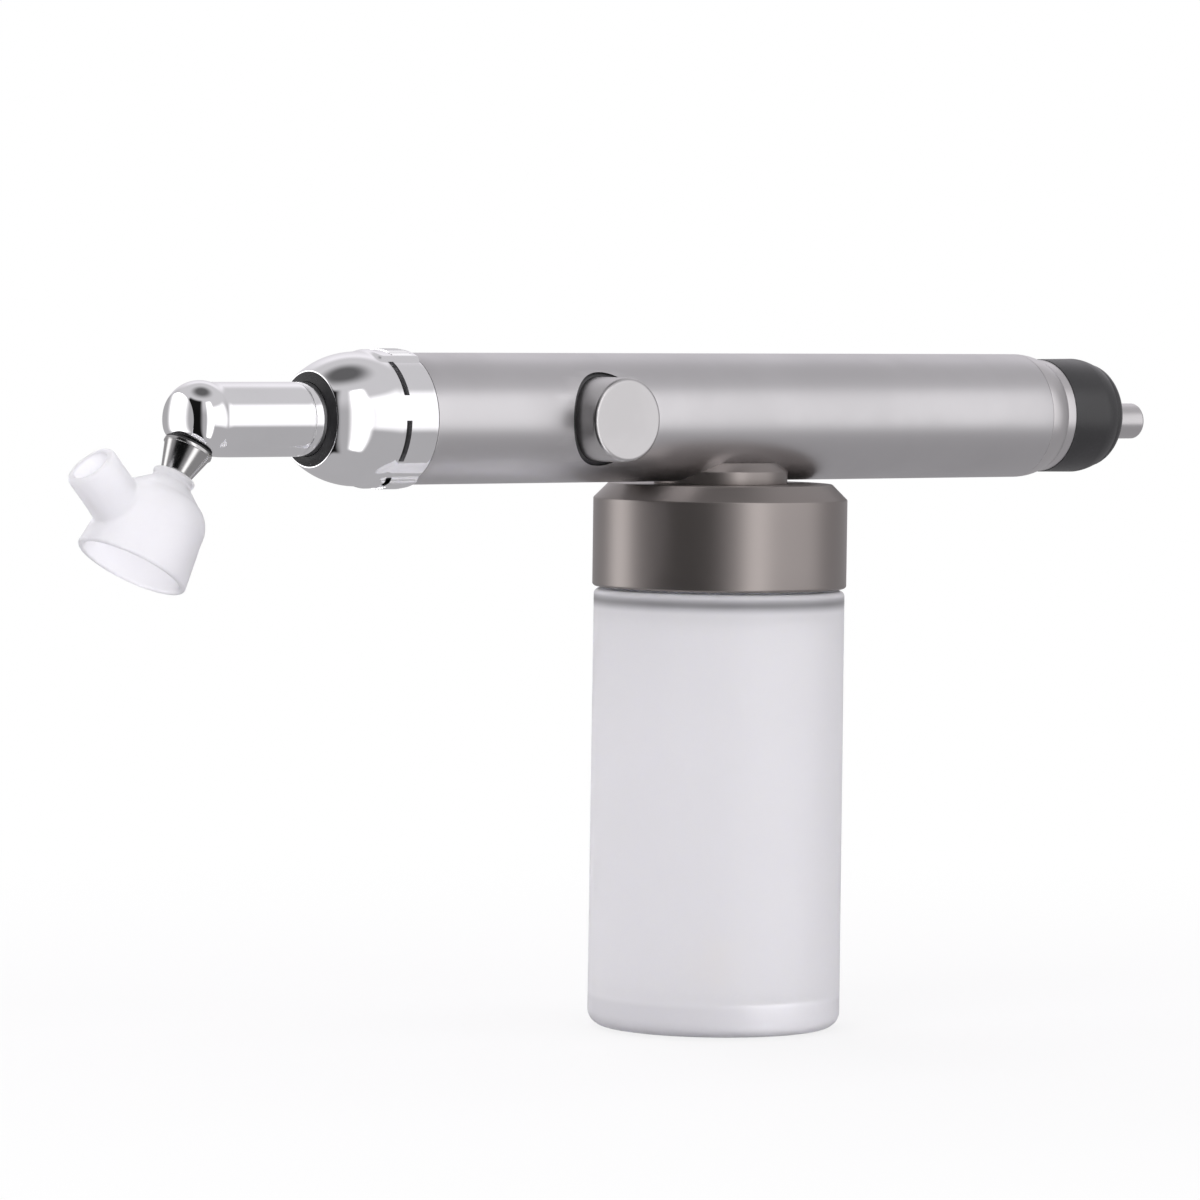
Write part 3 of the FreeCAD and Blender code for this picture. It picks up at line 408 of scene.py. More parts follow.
def node_tree(name, numbers, counts=()):
    """An empty geometry node tree with named inputs and a material input; also its input values."""
    tree = bpy.data.node_groups.new(name, "GeometryNodeTree")
    tree.interface.new_socket("Geometry", in_out="OUTPUT", socket_type="NodeSocketGeometry")
    kinds = [(label, "NodeSocketInt") for label in counts]
    kinds += [(label, "NodeSocketFloat") for label in numbers]
    kinds.append(("Material", "NodeSocketMaterial"))
    for label, kind in kinds:
        tree.interface.new_socket(label, in_out="INPUT", socket_type=kind)
    return tree, tree.nodes.new("NodeGroupInput").outputs


def close_tree(tree, value, geometry):
    """End a tree in Realize Instances and Set Material."""
    real = add_node(tree, "GeometryNodeRealizeInstances", {"Geometry": geometry}).outputs["Geometry"]
    painted = add_node(tree, "GeometryNodeSetMaterial", {"Geometry": real, "Material": value["Material"]})
    add_node(tree, "NodeGroupOutput", {"Geometry": painted.outputs["Geometry"]})
    return tree


def grown(name, tree, values, material=None):
    """Evaluate a tree with its inputs set, and keep the result as a plain mesh in millimetres."""
    piece = bpy.data.objects.new(name, bpy.data.meshes.new(name))
    bpy.context.scene.collection.objects.link(piece)
    modifier = piece.modifiers.new("grow", "NODES")
    modifier.node_group = tree
    for item in tree.interface.items_tree:
        if item.in_out == "INPUT":
            modifier[item.identifier] = material if item.name == "Material" else values[item.name]
    frozen(piece)
    with editing(piece) as build:
        bmesh.ops.remove_doubles(build, verts=build.verts, dist=1e-5)
        bmesh.ops.recalc_face_normals(build, faces=build.faces)
    return piece


def swept(tree, curve, section):
    """A closed bar of a section that follows a curve, with its sides kept upright."""
    upright = add_node(tree, "GeometryNodeSetCurveNormal", {"Curve": curve}, mode="Z_UP")
    bar = {"Curve": upright.outputs["Curve"], "Profile Curve": section, "Fill Caps": True}
    return add_node(tree, "GeometryNodeCurveToMesh", bar).outputs["Mesh"]


def copies(tree, count, thing, places=None, turns=None):
    """Copies of a mesh, each with its own place or its own turn."""
    points = {"Count": count}
    if places is not None:
        points["Position"] = places
    spots = add_node(tree, "GeometryNodePoints", points).outputs["Geometry"]
    copied = {"Points": spots, "Instance": thing}
    if turns is not None:
        copied["Rotation"] = turns
    return add_node(tree, "GeometryNodeInstanceOnPoints", copied).outputs["Instances"]


def helix_tree(name, steps_per_turn, make_section):
    """A bar wound on a helix about the Z axis; make_section gives its section."""
    tree, value = node_tree(name, ("Turns", "Radius", "Rise", "Foot", "Crest", "Depth"))
    spiral = add_node(tree, "GeometryNodeCurveSpiral", {
        "Resolution": steps_per_turn,
        "Rotations": value["Turns"],
        "Start Radius": value["Radius"],
        "End Radius": value["Radius"],
        "Height": value["Rise"],
    })
    return close_tree(tree, value, swept(tree, spiral.outputs["Curve"], make_section(tree, value)))


def wire_section(tree, value):
    """A round wire whose radius is Depth."""
    wire = {"Resolution": 14, "Radius": value["Depth"]}
    return add_node(tree, "GeometryNodeCurvePrimitiveCircle", wire).outputs["Curve"]


def ridge_section(tree, value):
    """A thread's trapezoid, lying on its side."""
    section = add_node(tree, "GeometryNodeCurvePrimitiveQuadrilateral", {
        "Bottom Width": value["Foot"],
        "Top Width": value["Crest"],
        "Height": value["Depth"],
        "Offset": 0.0,
    }, mode="TRAPEZOID")
    lying = {"Geometry": section.outputs["Curve"], "Rotation": (0.0, 0.0, math.radians(90))}
    return add_node(tree, "GeometryNodeTransform", lying).outputs["Geometry"]


def coil_tree():
    """A round wire wound into a coil spring."""
    return helix_tree("coil", 40, wire_section)


def ridge_tree():
    """A screw thread's ridge."""
    return helix_tree("thread ridge", 96, ridge_section)


def slot_tree():
    """Bars bent along an arc and spaced evenly about the Z axis: the cutters of the slots."""
    tree, value = node_tree("slots", ("Radius", "Arc", "Phase", "Width", "Depth"), ("Count",))
    arc = add_node(tree, "GeometryNodeCurveArc", {
        "Resolution": 24,
        "Radius": value["Radius"],
        "Sweep Angle": value["Arc"],
        "Start Angle": maths(tree, "MULTIPLY", value["Arc"], -0.5),
    })
    sides = {"Width": value["Depth"], "Height": value["Width"]}
    section = add_node(tree, "GeometryNodeCurvePrimitiveQuadrilateral", sides)
    bar = swept(tree, arc.outputs["Curve"], section.outputs["Curve"])
    number = tree.nodes.new("GeometryNodeInputIndex").outputs[0]
    step = maths(tree, "DIVIDE", 2 * math.pi, value["Count"])
    angle = maths(tree, "MULTIPLY_ADD", number, step, value["Phase"])
    turn = add_node(tree, "ShaderNodeCombineXYZ", {"Z": angle}).outputs["Vector"]
    return close_tree(tree, value, copies(tree, value["Count"], bar, turns=turn))


def grip_tree():
    """Straight ridges side by side across an arc about the Z axis: the grip of a thumb pad."""
    tree, value = node_tree("grip ridges", ("Radius", "Arc", "Phase", "Ridge", "Length"), ("Count",))
    ridge = {"Vertices": 10, "Radius": value["Ridge"], "Depth": value["Length"]}
    ridge_mesh = add_node(tree, "GeometryNodeMeshCylinder", ridge).outputs["Mesh"]
    number = tree.nodes.new("GeometryNodeInputIndex").outputs[0]
    gaps = maths(tree, "SUBTRACT", value["Count"], 1)
    part = maths(tree, "SUBTRACT", maths(tree, "DIVIDE", number, gaps), 0.5)
    angle = maths(tree, "MULTIPLY_ADD", part, value["Arc"], value["Phase"])
    where = add_node(tree, "ShaderNodeCombineXYZ", {
        "X": maths(tree, "MULTIPLY", maths(tree, "COSINE", angle), value["Radius"]),
        "Y": maths(tree, "MULTIPLY", maths(tree, "SINE", angle), value["Radius"]),
    })
    grip = copies(tree, value["Count"], ridge_mesh, places=where.outputs["Vector"])
    return close_tree(tree, value, grip)


# ---- Effects shared by the materials -------------------------------------------------------------
def object_place(tree):
    """Where a shaded point is on its piece, in metres."""
    return tree.nodes.new("ShaderNodeTexCoord").outputs["Object"]


def vector_maths(tree, operation, *values, output="Vector"):
    """The result of a Vector Math node."""
    inputs = dict(enumerate(values))
    return add_node(tree, "ShaderNodeVectorMath", inputs, operation=operation).outputs[output]


def ramped(tree, value, start, end, low=0.0, high=1.0, smooth=True):
    """A change from low to high while the value runs from start to end."""
    limits = {"Value": value, "From Min": start, "From Max": end, "To Min": low, "To Max": high}
    way = "SMOOTHSTEP" if smooth else "LINEAR"
    return add_node(tree, "ShaderNodeMapRange", limits, interpolation_type=way).outputs["Result"]


def noise(tree, **inputs):
    """The strength of a noise texture."""
    return add_node(tree, "ShaderNodeTexNoise", inputs).outputs["Fac"]


def fine_grain(tree, value):
    """Even grain of a blasted, moulded or frosted surface."""
    return noise(tree, Vector=object_place(tree), Scale=value["Scale"], Detail=3.0)


def handling(tree, value):
    """Broad soft patches from handling."""
    place = vector_maths(tree, "MULTIPLY", object_place(tree), value["Stretch"])
    patches = noise(tree, Vector=place, Scale=value["Scale"], Detail=4.0, Roughness=0.55)
    return ramped(tree, patches, 0.35, 0.68)


def edge_wear(tree, value):
    """Rubbed convex edges, broken up by noise."""
    edge = tree.nodes.new("ShaderNodeNewGeometry").outputs["Pointiness"]
    rubbed = ramped(tree, edge, value["Start"], value["End"], smooth=False)
    return maths(tree, "MULTIPLY", rubbed, noise(tree, Vector=object_place(tree), Scale=500.0))


def turning_lines(tree, value):
    """Fine lathe lines: across an axis, or in rings about it where Rings is 1."""
    offset = vector_maths(tree, "SUBTRACT", object_place(tree), value["Origin"])
    along = vector_maths(tree, "DOT_PRODUCT", offset, value["Way"], output="Value")
    whole = vector_maths(tree, "LENGTH", offset, output="Value")
    squares = [maths(tree, "POWER", distance, 2.0) for distance in (whole, along)]
    off_axis = maths(tree, "SQRT", maths(tree, "MAXIMUM", maths(tree, "SUBTRACT", *squares), 0.0))
    place = add_node(tree, "ShaderNodeMix", {"Factor": value["Rings"], "A": along, "B": off_axis})
    scale = maths(tree, "DIVIDE", 1.0, value["Pitch"])
    look = {"W": place.outputs["Result"], "Scale": scale, "Detail": 3.0, "Roughness": 0.7}
    return add_node(tree, "ShaderNodeTexNoise", look, noise_dimensions="1D").outputs["Fac"]


# Each effect's inputs with their usual values.
EFFECTS = {
    fine_grain: {"Scale": 3000.0},
    handling: {"Scale": 60.0, "Stretch": (1.0, 1.0, 1.0)},
    edge_wear: {"Start": 0.53, "End": 0.60},
    turning_lines: {"Origin": (0.0, 0.0, 0.0), "Way": (0.0, 0.0, 1.0), "Pitch": 0.0004, "Rings": 0.0},
}


def effect_group(effect):
    """The node group of an effect, made the first time that it is asked for."""
    name = effect.__name__.replace("_", " ")
    found = bpy.data.node_groups.get(name)
    if found:
        return found
    group = bpy.data.node_groups.new(name, "ShaderNodeTree")
    for label, default in EFFECTS[effect].items():
        kind = "NodeSocketVector" if isinstance(default, tuple) else "NodeSocketFloat"
        socket = group.interface.new_socket(label, in_out="INPUT", socket_type=kind)
        socket.default_value = default
    group.interface.new_socket("Strength", in_out="OUTPUT", socket_type="NodeSocketFloat")
    value = group.nodes.new("NodeGroupInput").outputs
    add_node(group, "NodeGroupOutput", {"Strength": effect(group, value)})
    return group


class Paint:
    """A material under construction: its shader, and short ways to add effects to it."""

    def __init__(self, name, colour, roughness, metallic=0.0, **inputs):
        self.material = bpy.data.materials.new(name)
        self.material.use_nodes = True
        self.tree = self.material.node_tree
        self.shader = self.tree.nodes["Principled BSDF"]
        self.colour = (*colour, 1.0)
        values = {"Base Color": self.colour, "Roughness": roughness, "Metallic": metallic, **inputs}
        for label, value in values.items():
            self.shader.inputs[label].default_value = value

    def effect(self, effect, **values):
        """The strength of an effect on this material."""
        node = add_node(self.tree, "ShaderNodeGroup", values, node_tree=effect_group(effect))
        return node.outputs["Strength"]

    def blend(self, factor, other):
        """Mix another colour over the base colour where the factor is 1."""
        before = self.shader.inputs["Base Color"]
        under = before.links[0].from_socket if before.links else self.colour
        inputs = {"Factor": factor, "A": under, "B": (*other, 1.0)}
        mix = add_node(self.tree, "ShaderNodeMix", inputs, data_type="RGBA")
        self.tree.links.new(mix.outputs["Result"], before)

    def rough(self, factor, low, high):
        """Let the roughness run between two values with a factor."""
        spread = ramped(self.tree, factor, 0.0, 1.0, low, high, smooth=False)
        self.tree.links.new(spread, self.shader.inputs["Roughness"])

    def relief(self, height, depth):
        """Raise the surface by a height from 0 to 1; depth is in metres."""
        shape = {"Distance": depth, "Strength": 1.0, "Height": height}
        bump = add_node(self.tree, "ShaderNodeBump", shape)
        before = self.shader.inputs["Normal"]
        if before.links:
            self.tree.links.new(before.links[0].from_socket, bump.inputs["Normal"])
        self.tree.links.new(bump.outputs["Normal"], before)

    def turn(self, way, pitch, depth, **values):
        """Add lathe lines about a direction."""
        lines = self.effect(turning_lines, Way=tuple(way), Pitch=pitch, **values)
        self.relief(lines, depth)


def darker(colour, amount):
    """A colour times an amount."""
    return tuple(channel * amount for channel in colour)


def surface(name, colour, roughness, patches, grain, wear=None, **inputs):
    """A surface with patches of handling, fine grain and, where asked for, rubbed edges.

    patches is their scale, colour and the roughness without and with them; grain is its scale and depth.
    """
    paint = Paint(name, colour, roughness, **inputs)
    scale, patch_colour, low, high = patches
    worn = paint.effect(handling, Scale=scale)
    paint.blend(worn, patch_colour)
    if wear:
        paint.blend(paint.effect(edge_wear), wear)
    paint.rough(worn, low, high)
    paint.relief(paint.effect(fine_grain, Scale=grain[0]), grain[1])
    return paint


def metal_paint(name, colour, roughness, grain, depth, spread, wear):
    """A metal with fine grain, soft patches of handling and rubbed edges."""
    patches = (55.0, darker(colour, 0.955), roughness * (1 - spread), roughness * (1 + spread))
    return surface(name, colour, roughness, patches, (grain, depth), wear, metallic=1.0)


def kept(name, make):
    """The material of that name, made the first time that it is asked for."""
    return bpy.data.materials.get(name) or make(name).material


BLAST_GRAIN = 5200.0


def barrel_metal(name):
    """Bead-blasted aluminium."""
    worn = (0.78, 0.77, 0.78)
    return metal_paint(name, finish().barrel_tint, finish().barrel_rough, BLAST_GRAIN, 0.0000035, 0.06, worn)


def button_metal(name):
    """Blasted aluminium with faint rings on its face."""
    paint = metal_paint(name, finish().button_tint, 0.34, BLAST_GRAIN, 0.000003, 0.08, (0.88, 0.87, 0.88))
    centre = tuple(Vector((button_x, 0, axis_z)) * MM)
    paint.turn(BUTTON_WAY, 0.00035, 0.000001, Origin=centre, Rings=1.0)
    return paint


def lid_metal(name):
    """Satin gunmetal with fine lathe lines."""
    colour, roughness = finish().lid_tint, finish().lid_rough
    paint = metal_paint(name, colour, roughness, BLAST_GRAIN, 0.0000025, 0.10, (0.44, 0.41, 0.40))
    paint.turn(UP, 0.0003, 0.0000012)
    return paint


def chrome(name):
    """Polished chrome with a trace of handling."""
    colour, roughness = finish().chrome_tint, finish().chrome_rough
    patches = (90.0, darker(colour, 0.975), roughness * 0.6, roughness * 1.5)
    return surface(name, colour, roughness, patches, (900.0, 0.0000008), metallic=1.0)


def collar_metal(name):
    """Satin steel, turned about the barrel's axis."""
    paint = metal_paint(name, finish().collar_tint, 0.30, BLAST_GRAIN, 0.0000025, 0.08, (0.8, 0.79, 0.8))
    paint.turn(BARREL_WAY, 0.0003, 0.0000015)
    return paint


def nozzle_metal(name):
    """Bright steel with lathe lines about the spray's axis."""
    paint = metal_paint(name, finish().nozzle_tint, 0.20, 4000.0, 0.0000015, 0.15, (0.72, 0.72, 0.71))
    paint.turn(spray_way, 0.00016, 0.000004, Origin=tuple(head_point * MM))
    return paint


def machined(name, colour, roughness):
    """Machined metal inside the gun, with cutter lines across the barrel's axis."""
    worn = tuple(min(1.0, channel * 1.2) for channel in colour)
    paint = metal_paint(name, colour, roughness, 3500.0, 0.000002, 0.2, worn)
    paint.turn(BARREL_WAY, 0.0004, 0.000003)
    return paint


def inner_brass(name):
    """Machined brass."""
    return machined(name, finish().brass_tint, 0.26)


def inner_steel(name):
    """Drawn steel."""
    return machined(name, finish().steel_tint, 0.24)


def inner_aluminium(name):
    """Machined aluminium."""
    return machined(name, (0.72, 0.72, 0.73), 0.32)


def cap_plastic(name):
    """Black moulded plastic with a fine spark texture."""
    paint = Paint(name, finish().cap_tint, 0.38, **{"Specular IOR Level": 0.6})
    patches = paint.effect(handling, Scale=70.0)
    paint.blend(patches, (0.026, 0.026, 0.028))
    paint.blend(paint.effect(edge_wear, Start=0.54, End=0.64), (0.07, 0.07, 0.072))
    paint.rough(patches, 0.33, 0.46)
    paint.relief(paint.effect(fine_grain, Scale=2600.0), 0.000012)
    return paint


def seal_rubber(name):
    """Matt black rubber with a trace of bloom."""
    patches = (160.0, (0.026, 0.026, 0.027), 0.46, 0.66)
    return surface(name, finish().rubber_tint, 0.55, patches, (2200.0, 0.00001))


def painted_shade_band(paint, low, high, soft):
    """A mask between two heights above the jar's foot, with soft sides, for bands of painted shade on the
    glass.
    """
    height = add_node(paint.tree, "ShaderNodeSeparateXYZ", {"Vector": object_place(paint.tree)}).outputs["Z"]
    sides = ((low - soft, low + soft), (high + soft, high - soft))
    return maths(paint.tree, "MULTIPLY", *[ramped(paint.tree, height, a * MM, b * MM) for a, b in sides])


def milky(ior, transmission, scattering, depths):
    """Shader inputs of a frosted body; depths, in metres, are how far each colour scatters."""
    return {
        "IOR": ior,
        "Transmission Weight": transmission,
        "Subsurface Weight": scattering,
        "Subsurface Radius": depths,
        "Subsurface Scale": 1.0,
    }


def frosted_glass(name):
    """Acid-frosted glass with painted shade: a greyer band at the thick foot and a dark painted shadow band
    under the lid.
    """
    colour = finish().glass_tint
    paint = Paint(name, colour, 0.5, **milky(1.45, 0.5, 0.35, (0.002, 0.002, 0.0022)))
    patches = paint.effect(handling, Scale=40.0, Stretch=(1.0, 1.0, 0.35))
    paint.blend(patches, darker(colour, 0.985))
    # Painted shade: a greyer band at the thick foot, standing in for the inner floor seen through the frosted
    # wall.
    paint.blend(painted_shade_band(paint, 0.4, 4.9, 0.5), darker(colour, 0.90))
    # Painted shadow: a dark band just under the lid, standing in for the lid's shadow and the neck seen
    # through the glass.
    paint.blend(painted_shade_band(paint, 66.5, 68.0, 0.8), darker(colour, 0.34))
    paint.rough(patches, 0.44, 0.56)
    paint.relief(paint.effect(fine_grain, Scale=4200.0), 0.000006)
    return paint


def frosted_silicone(name):
    """Soft frosted silicone."""
    colour = finish().silicone_tint
    patches = (170.0, darker(colour, 0.98), 0.42, 0.56)
    milk = milky(1.40, 0.55, 0.45, (0.003, 0.003, 0.0032))
    return surface(name, colour, 0.48, patches, (2600.0, 0.000012), **milk)


# ---- Barrel --------------------------------------------------------------------------------------
class SPRAYGUN_OT_barrel(bpy.types.Operator):
    """Build the blasted main tube with its button hole"""

    bl_idname = "spraygun.barrel"
    bl_label = "Barrel"

    def execute(self, context):
        radius = sizes().barrel_radius
        front, rear = low_mm("barrel").x, high_mm("barrel").x
        bore = radius - sizes().barrel_wall
        tube = turned("barrel_tube", [(bore, front), (radius, front), (radius, rear), (bore, rear)],
                      on_barrel(), BARREL_WAY, edge=0.10, longest=3.0)
        button_hole = high_mm("button_guide").x - button_x + 0.05
        bolt_hole = 3.05
        carve(tube, rod("hole_tool", button_hole, -2 * radius, 0, on_barrel(button_x), BUTTON_WAY))
        carve(tube, rod("bolt_tool", bolt_hole, -2 * radius, 0, on_barrel(), UP))
        finished(tube, "gun", "satin_aluminium", kept("blasted aluminium", barrel_metal), "barrel")
        return {"FINISHED"}


# ---- Rear end ------------------------------------------------------------------------------------
class SPRAYGUN_OT_rear(bpy.types.Operator):
    """Build the steel collar, the black end cap and the hose spigot"""

    bl_idname = "spraygun.rear"
    bl_label = "Rear end"

    def execute(self, context):
        radius = sizes().barrel_radius
        start = high_mm("barrel").x
        collar_end = low_mm("rear_cap").x
        shoulder_end = start + 4.1
        collar_radius = 9.1
        collar = turned("collar", [
            (7.0, start - 2.0),
            (8.1, start - 2.0),
            (8.1, start),
            (radius, start),
            ((radius + collar_radius) / 2 + 0.22, start + 2.05, ARC),
            (collar_radius, shoulder_end),
            (collar_radius, collar_end),
            (7.0, collar_end),
        ], on_barrel(), BARREL_WAY, edge=0.05)
        finished(collar, "gun", "satin_steel", kept("satin steel", collar_metal), "rear_collar")

        band_end = collar_end + 7.0
        dome_start = band_end + 2.9
        dome_radius, dome_depth = 8.5, 3.9
        dome = []
        for step in range(1, 13):
            angle = math.radians(60) * step / 12
            dome.append((dome_radius * math.cos(angle), dome_start + dome_depth * math.sin(angle)))
        cap = turned("end_cap", [
            (7.0, collar_end),
            (9.2, collar_end),
            (9.28, band_end),
            (9.04, band_end + 1.45, ARC),
            (dome_radius, dome_start),
            *dome,
            (0, dome[-1][1]),
            (0, collar_end + 4.0),
            (7.0, collar_end + 4.0),
        ], on_barrel(), BARREL_WAY, edge=0.10)
        spigot_origin = Vector((0, 0, spigot_z))
        spigot_hole = 3.35
        past_dome = band_end + 9
        hole = rod("hole_tool", spigot_hole, collar_end, past_dome, spigot_origin, BARREL_WAY, longest=2.3)
        carve(cap, hole)
        finished(cap, "gun", "black_plastic", kept("black plastic", cap_plastic), "rear_cap")

        end = high_mm("hose_spigot").x
        cap_end = dome[-1][1]
        spigot = turned("spigot", [
            (1.8, cap_end - 8),
            (3.3, cap_end - 8),
            (3.3, cap_end),
            (2.9, cap_end),
            (2.9, end - 0.6),
            (2.9 - 0.18, end - 0.18, ARC),
            (2.3, end),
            (1.8, end),
        ], spigot_origin, BARREL_WAY, edge=0.08)
        finished(spigot, "gun", "satin_steel", kept("satin steel", collar_metal), "hose_spigot")
        return {"FINISHED"}


# ---- Button --------------------------------------------------------------------------------------
class SPRAYGUN_OT_button(bpy.types.Operator):
    """Build the push button, its black guide ring and its spring"""

    bl_idname = "spraygun.button"
    bl_label = "Push button"

    def execute(self, context):
        origin = on_barrel(button_x)
        radius = sizes().button_radius
        face, skirt_end = low_mm("push_button").y, high_mm("push_button").y
        inside = radius - 1.4
        button = turned("button_cap", [
            (0, face),
            (radius - 0.7, face),
            (radius - 0.205, face + 0.205, ARC),
            (radius, face + 0.7),
            (radius, skirt_end),
            (inside, skirt_end),
            (inside, face + 2.0),
            (2.3, face + 2.0),
            (2.3, face + 4.0),
            (0, face + 4.0),
        ], origin, BUTTON_WAY, edge=0.06)
        finished(button, "button", "button_aluminium", kept("button aluminium", button_metal), "push_button")

        guide_outer = high_mm("button_guide").x - button_x
        guide_inner = radius + 0.05
        rim_radius = sizes().barrel_radius - 0.4
        floor = high_mm("button_guide").y
        build = bmesh.new()
        rings = []
        facets = sizes().facets
        edges = ((guide_outer, False), (guide_outer, True), (guide_inner, True), (guide_inner, False))
        for ring_radius, high in edges:
            ring = []
            for step in range(facets):
                angle = 2 * math.pi * step / facets
                across = ring_radius * math.sin(angle)
                y = -math.sqrt(rim_radius ** 2 - across ** 2) if high else floor
                ring.append(build.verts.new((button_x + ring_radius * math.cos(angle), y, axis_z + across)))
            rings.append(ring)
        for index, ring in enumerate(rings):
            following = rings[(index + 1) % len(rings)]
            for step in range(facets):
                beside = (step + 1) % facets
                build.faces.new([ring[step], ring[beside], following[beside], following[step]])
        guide = to_object("guide_ring", build)
        guide.data.transform(Matrix.Scale(MM, 4))
        finished(guide, "gun", "black_plastic", kept("black plastic", cap_plastic), "button_guide")

        low, high = low_mm("button_spring").y, high_mm("button_spring").y
        wire = 0.3
        coil_radius = 3.6
        coil = grown("coil_spring", coil_tree(), {
            "Turns": sizes().spring_turns,
            "Radius": coil_radius,
            "Rise": high - low - 2 * wire,
            "Foot": 0.0,
            "Crest": 0.0,
            "Depth": wire,
        }, kept("spring steel", inner_steel))
        lay(coil.data, origin + BUTTON_WAY * (low + wire), BUTTON_WAY)
        finished(coil, "gun", "steel", kept("spring steel", inner_steel), "button_spring")
        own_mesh(coil)
        return {"FINISHED"}


# ---- Nose ----------------------------------------------------------------------------------------
PAD_HALF_ANGLE = 27.6
PAD_LENGTH = 6.9
PAD_RAMP = 1.8
PAD_RISE = 0.45


def smoothstep(value):
    """A smooth change from 0 to 1."""
    value = min(1.0, max(0.0, value))
    return value * value * (3 - 2 * value)


def raise_pads(cap, rear, radius):
    """Lift the top and bottom of the nose cap into two thumb pads."""
    pad_radius = radius + PAD_RISE
    for vertex in cap.data.vertices:
        x, y, z = vertex.co / MM
        across, up = y, z - axis_z
        here = math.hypot(across, up)
        if here < radius - 0.6:
            continue
        off = abs(math.degrees(math.atan2(across, abs(up))))
        into = rear - x
        if into < -0.01 or into > PAD_LENGTH + PAD_RAMP:
            continue
        ramp = max(0.0, into - PAD_LENGTH) / PAD_RAMP
        target = pad_radius - 2 * PAD_RISE * ramp
        side = smoothstep((PAD_HALF_ANGLE + 0.9 - off) / 1.8)
        grow = max(0.0, target - here) * side
        scale = (here + grow) / here
        vertex.co = Vector((x, across * scale, axis_z + up * scale)) * MM


class SPRAYGUN_OT_nose(bpy.types.Operator):
    """Build the chromed nose cap with its slots and grip pads, and the seal around the neck"""

    bl_idname = "spraygun.nose"
    bl_label = "Nose"

    def execute(self, context):
        rear, front = high_mm("nose_cap").x, low_mm("nose_cap").x
        radius = sizes().barrel_radius + 0.05
        rim = 7.35
        band_front = rear - 6.3
        middle = ((radius + rim) / 2 + 1.05, (band_front + front) / 2)
        chrome_finish = kept("polished chrome", chrome)
        cap = turned("nose_shell", [
            (rim - 0.25, front),
            (rim, front),
            (*middle, ARC),
            (radius, band_front),
            (radius, rear),
            (9.2, rear),
            (9.2, rear - 8.3),
            (7.5, rear - 8.3),
            (7.1, front + 3.0),
        ], on_barrel(), BARREL_WAY, edge=0.10, longest=0.45)
        raise_pads(cap, rear, radius)
        slots = grown("slot_tools", slot_tree(), {
            "Count": 6,
            "Radius": radius,
            "Arc": math.radians(38.0),
            "Phase": math.radians(41.0),
            "Width": 1.0,
            "Depth": 3.4,
        })
        turn = Matrix(((0, 0, -1, 0), (-1, 0, 0, 0), (0, 1, 0, 0), (0, 0, 0, 1)))
        slots.data.transform(Matrix.Scale(MM, 4) @ Matrix.Translation(on_barrel(rear - 5.55)) @ turn)
        carve(cap, slots)
        finished(cap, "gun", "bright_chrome", chrome_finish, "nose_cap")

        for name, phase in (("grip_top", 90.0), ("grip_bottom", -90.0)):
            grip = grown(name, grip_tree(), {
                "Count": sizes().grip_ridges,
                "Radius": radius + PAD_RISE - 0.30 + sizes().grip_depth,
                "Arc": math.radians(2 * PAD_HALF_ANGLE - 12.0),
                "Phase": math.radians(phase),
                "Ridge": 0.30,
                "Length": 3.6,
            }, chrome_finish)
            grip.data.transform(Matrix.Scale(MM, 4) @ Matrix.Translation(on_barrel(rear - 2.7)) @ turn)
            finished(grip, "gun", "bright_chrome", chrome_finish)

        seal_front = low_mm("nose_seal").x
        bore = sizes().neck_radius + 0.05
        seal = turned("neck_seal", [
            (bore, front + 3.0),
            (rim - 0.25, front + 3.0),
            (rim - 0.25, front),
            ((rim - 0.25 + bore) / 2, front - 0.42, ARC),
            (bore, seal_front),
        ], on_barrel(), BARREL_WAY, edge=0.05)
        finished(seal, "gun", "black_rubber", kept("black rubber", seal_rubber), "nose_seal")
        return {"FINISHED"}


# ---- Head and nozzle -----------------------------------------------------------------------------
SEAT = 4.4
SEAT_ROUND = 0.45


def flatten_seat(head):
    """Press the part of the dome beyond the nozzle's seat back onto it, with a soft edge."""
    for vertex in head.data.vertices:
        beyond = (vertex.co / MM - head_point).dot(spray_way) - SEAT
        if beyond < -8 * SEAT_ROUND:
            continue
        kept_height = -SEAT_ROUND * math.log1p(math.exp(-beyond / SEAT_ROUND))
        vertex.co -= spray_way * (beyond - kept_height) * MM


class SPRAYGUN_OT_head(bpy.types.Operator):
    """Build the chromed turning head with its slanted seat"""

    bl_idname = "spraygun.head"
    bl_label = "Turning head"

    def execute(self, context):
        end = low_mm("spray_head").x
        rear = high_mm("spray_head").x
        neck = sizes().neck_radius
        end_radius = 4.05
        groove = -83.1
        tail = rear - 4.2
        head = turned("head_shell", [
            (0, end),
            (end_radius * 0.52, end + 0.13, ARC),
            (end_radius, end + 0.5),
            ((end_radius + neck) / 2 + 0.5, end + 2.1, ARC),
            (neck, end + 6.0),
            (neck, groove - 0.15),
            (neck - 0.15, groove - 0.15),
            (neck - 0.15, groove + 0.15),
            (neck, groove + 0.15),
            (neck, tail - 1.9),
            (neck + 1.0, tail - 1.9),
            (neck + 1.0, tail),
            (4.6, tail),
            (4.6, rear),
            (2.6, rear),
            (2.6, end + 9.2),
            (0, end + 9.2),
        ], on_barrel(), BARREL_WAY, edge=0.06, longest=0.8)
        flatten_seat(head)
        finished(head, "head", "bright_chrome", kept("polished chrome", chrome), "spray_head")
        return {"FINISHED"}


